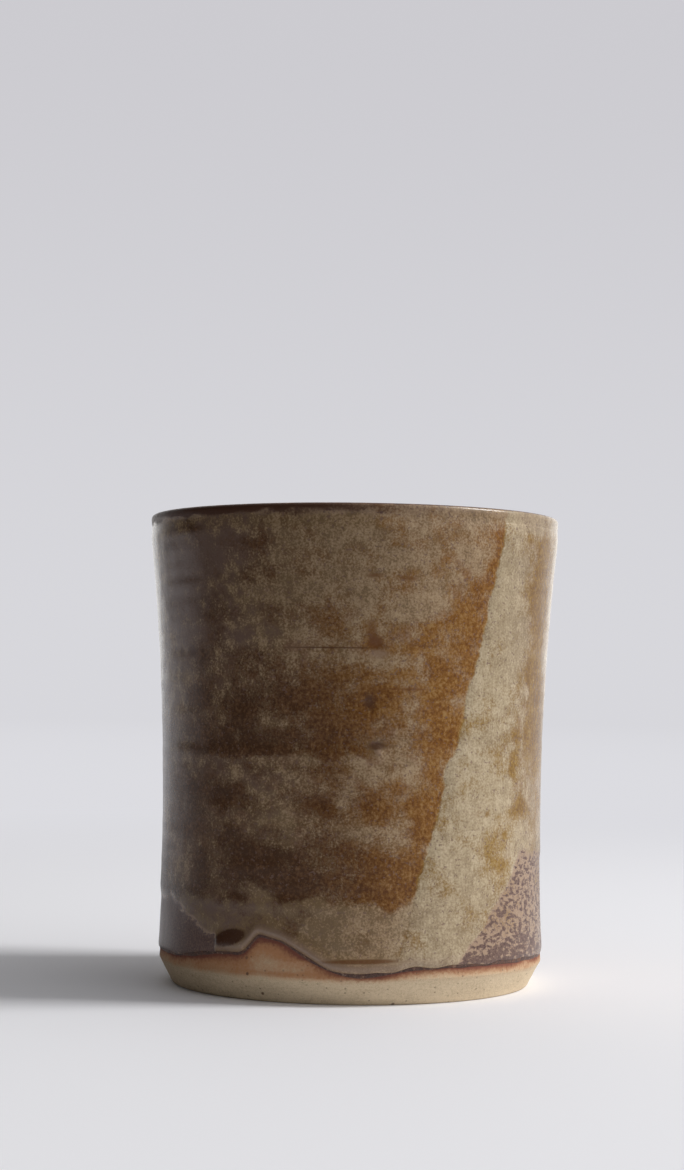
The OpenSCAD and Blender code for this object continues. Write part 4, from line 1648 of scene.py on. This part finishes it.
@dataclass(frozen=True)
class Studio:
    """Pale floor, soft light from the right and the camera of the photograph.

    Attributes:
        distance: from the camera to the cup's axis, in metres.
        height: of the camera above the floor.
        aside: of the camera to the right of the axis.
        pitch: of the view above the horizon, in degrees.
        roll: of the camera to its left, in degrees.
        focal: in pixels of the photograph.
        long_side: of the photograph, in pixels.
        behind: light at the back that only gloss mirrors.
        lights: soft light of the world.
        dimmest: light from everywhere.
        tint: colour of the soft light.
        horizon: backdrop's tone at the floor.
        zenith: backdrop's tone above the cup.
        climb: how far up the backdrop changes from one to the other.
        table: colour of the floor.
        dim_table: colour of the far floor to light that the cup throws back.
        near_table: glow of the floor that takes over behind the cup.
        lamp_place: of the lamp, in metres.
        lamp_aim: the place that the lamp faces.
        lamp_size: of the lamp, in metres.
        lamp_power: of the lamp, in watts.
        lamp_tint: colour of the lamp.
    """

    distance: float = 0.430
    height: float = 0.056
    aside: float = -0.00237
    pitch: float = 2.79
    roll: float = 0.70
    focal: float = 2193.0
    long_side: float = 1170.0
    behind: Glow = Glow((0.0, 1.0, 0.0), 0.68, 0.97, 1.0)
    lights: tuple[Glow, ...] = (
        Glow((0.0, 1.0, 0.0), 0.42, 0.86, 0.52), Glow((0.95, -0.15, 0.27), 0.30, 0.95, 0.85),
        Glow((0.0, 0.0, 1.0), 0.45, 0.95, 0.26))
    dimmest: float = 0.025
    tint: Colour = (1.0, 0.997, 1.0)
    horizon: Colour = (0.682, 0.680, 0.714)
    zenith: Colour = (0.605, 0.598, 0.632)
    climb: Glow = Glow((0.0, 0.0, 1.0), 0.0, 0.32, 1.0)
    table: Colour = (0.87, 0.87, 0.905)
    dim_table: Colour = (0.20, 0.20, 0.21)
    near_table: Colour = (0.715, 0.714, 0.750)
    lamp_place: tuple[float, float, float] = (1.22, -0.03, 1.10)
    lamp_aim: tuple[float, float, float] = (0.0, 0.0, 0.045)
    lamp_size: tuple[float, float] = (0.40, 0.80)
    lamp_power: float = 20.0
    lamp_tint: Colour = (1.0, 0.995, 0.985)

    def camera(self) -> bpy.types.Object:
        """Camera at the photograph's place and angle.

        Returns:
            The camera, set as the scene's own.
        """
        lens = bpy.data.cameras.new("camera")
        lens.sensor_fit = "AUTO"
        lens.sensor_width = 36.0
        lens.lens = self.focal / self.long_side * lens.sensor_width
        lens.clip_start = 0.01
        camera = bpy.data.objects.new("camera", lens)
        bpy.context.scene.collection.objects.link(camera)
        tip = Matrix.Rotation(np.radians(90.0 + self.pitch), 4, "X")
        lean = Matrix.Rotation(np.radians(self.roll), 4, "Z")
        camera.matrix_world = Matrix.Translation((self.aside, -self.distance, self.height)) @ tip @ lean
        bpy.context.scene.camera = camera
        return camera

    def floor(self) -> bpy.types.Object:
        """Round pale floor whose far part takes the backdrop's tone, so that no horizon shows.

        Returns:
            The floor.
        """
        reach = np.array([6.0, 2.0, 0.8, 0.3, 0.0])[:, None] / MM
        points = round_cup(columns_round(96), reach, np.zeros_like(reach))
        surface = Surface(points, {}, Ends.POLES, np.ones(len(reach) - 1))
        corners, _, _ = surface.corners()
        mesh = bpy.data.meshes.new("floor")
        mesh.from_pydata(surface.points.reshape(-1, 3).tolist(), [], corners.tolist())
        floor = bpy.data.objects.new("floor", mesh)
        bpy.context.scene.collection.objects.link(floor)
        g = Graph("pale floor")
        g.shader.inputs["Roughness"].default_value = 0.8
        g.shader.inputs["Specular IOR Level"].default_value = 0.2
        away = g.length(g.place)
        far = g.ease(away, 0.12, 0.60)
        rays = g.nodes.new("ShaderNodeLightPath").outputs
        unseen = g.sum("SUBTRACT", 1.0, rays["Is Camera Ray"])
        dim = g.sum("MULTIPLY", g.ease(away, 0.055, 0.34), unseen)
        g.feed(g.shader.inputs["Base Color"], g.blend(dim, self.table, self.dim_table))
        glow = g.nodes.new("ShaderNodeEmission")
        g.feed(glow.inputs["Color"], g.blend(g.ease(away, 0.6, 4.0), self.near_table, self.horizon))
        join = g.nodes.new("ShaderNodeMixShader")
        side = g.nodes.new("ShaderNodeSeparateXYZ")
        g.links.new(g.place, side.inputs["Vector"])
        behind = g.ease(side.outputs["Y"], 0.0, 0.25)
        seen = g.sum("MULTIPLY_ADD", rays["Is Glossy Ray"], behind, rays["Is Camera Ray"])
        g.links.new(g.sum("MULTIPLY", far, seen), join.inputs["Fac"])
        g.links.new(g.shader.outputs["BSDF"], join.inputs[1])
        g.links.new(glow.outputs["Emission"], join.inputs[2])
        g.links.new(join.outputs["Shader"], g.nodes["Material Output"].inputs["Surface"])
        mesh.materials.append(g.material)
        return floor

    def backdrop(self) -> bpy.types.World:
        """World: a pale backdrop to the camera, and soft light that is brightest at the right and the back.

        Returns:
            The world, set as the scene's own.
        """
        world = bpy.data.worlds.new("studio")
        world.use_nodes = True
        tree = world.node_tree
        nodes, links = tree.nodes, tree.links
        way = nodes.new("ShaderNodeTexCoord").outputs["Generated"]

        def strength(glow: Glow) -> Socket:
            """Smooth step of the cosine to a light's direction, times its most."""
            dot = nodes.new("ShaderNodeVectorMath")
            dot.operation = "DOT_PRODUCT"
            links.new(way, dot.inputs[0])
            dot.inputs[1].default_value = glow.towards
            step = nodes.new("ShaderNodeMapRange")
            step.interpolation_type = "SMOOTHSTEP"
            links.new(dot.outputs["Value"], step.inputs["Value"])
            step.inputs["From Min"].default_value = glow.low
            step.inputs["From Max"].default_value = glow.high
            step.inputs["To Max"].default_value = glow.most
            return step.outputs["Result"]

        def join_values(operation: str, first: Socket, second: Socket) -> Socket:
            """Math of two strengths."""
            node = nodes.new("ShaderNodeMath")
            node.operation = operation
            links.new(first, node.inputs[0])
            links.new(second, node.inputs[1])
            return node.outputs["Value"]

        rays = nodes.new("ShaderNodeLightPath").outputs
        soft = join_values("MULTIPLY", rays["Is Glossy Ray"], strength(self.behind))
        for glow in self.lights:
            soft = join_values("ADD", soft, strength(glow))
        everywhere = nodes.new("ShaderNodeMath")
        everywhere.inputs[1].default_value = self.dimmest
        links.new(soft, everywhere.inputs[0])
        light = nodes["Background"]
        light.inputs["Color"].default_value = (*self.tint, 1.0)
        links.new(everywhere.outputs["Value"], light.inputs["Strength"])
        tone = nodes.new("ShaderNodeMix")
        tone.data_type = "RGBA"
        links.new(strength(self.climb), tone.inputs[0])
        tone.inputs[6].default_value = (*self.horizon, 1.0)
        tone.inputs[7].default_value = (*self.zenith, 1.0)
        seen = nodes.new("ShaderNodeBackground")
        links.new(tone.outputs[2], seen.inputs["Color"])
        join = nodes.new("ShaderNodeMixShader")
        straight = join_values("ADD", rays["Is Camera Ray"], rays["Is Transmission Ray"])
        links.new(straight, join.inputs["Fac"])
        links.new(light.outputs["Background"], join.inputs[1])
        links.new(seen.outputs["Background"], join.inputs[2])
        links.new(join.outputs["Shader"], nodes["World Output"].inputs["Surface"])
        bpy.context.scene.world = world
        return world

    def key(self) -> bpy.types.Object:
        """Tall soft lamp at the right, level with the cup's side.

        Returns:
            The lamp.
        """
        lamp = bpy.data.lights.new("window", "AREA")
        lamp.shape = "RECTANGLE"
        lamp.size, lamp.size_y = self.lamp_size
        lamp.energy = self.lamp_power
        lamp.color = self.lamp_tint
        window = bpy.data.objects.new("window", lamp)
        bpy.context.scene.collection.objects.link(window)
        place = Vector(self.lamp_place)
        aim = (Vector(self.lamp_aim) - place).to_track_quat("-Z", "Y").to_matrix().to_4x4()
        window.matrix_world = Matrix.Translation(place) @ aim
        return window

    def make(self) -> None:
        """Sets the camera, the floor, the backdrop and the lamp, with plain colours on screen."""
        self.camera()
        self.floor()
        self.backdrop()
        self.key()
        bpy.context.scene.view_settings.view_transform = "Standard"


def main() -> None:
    """Builds the studio and the five pieces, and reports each."""
    logging.basicConfig(level=logging.INFO, format="%(name)s: %(message)s")
    Studio().make()
    form = CupForm()
    ash = AshGlaze(form, "ash_glaze_coat", "ash_glaze", "ash", GlazeMap(form))
    pieces = (
        ClayBody(form, "clay_wall_and_foot", "clay_body", "clay"),
        IronSlip(form, "iron_slip_coat", "iron_slip", "slip"),
        ash,
        PalePour(form, "pale_pour_coat", "pale_pour", "pour", ash),
        LinerGlaze(form, "liner_glaze_coat", "liner_glaze", "liner"))
    for piece in pieces:
        made = piece.make()
        log.info("%s: %d faces", made.name, len(made.data.polygons))


if __name__ == "__main__":
    main()
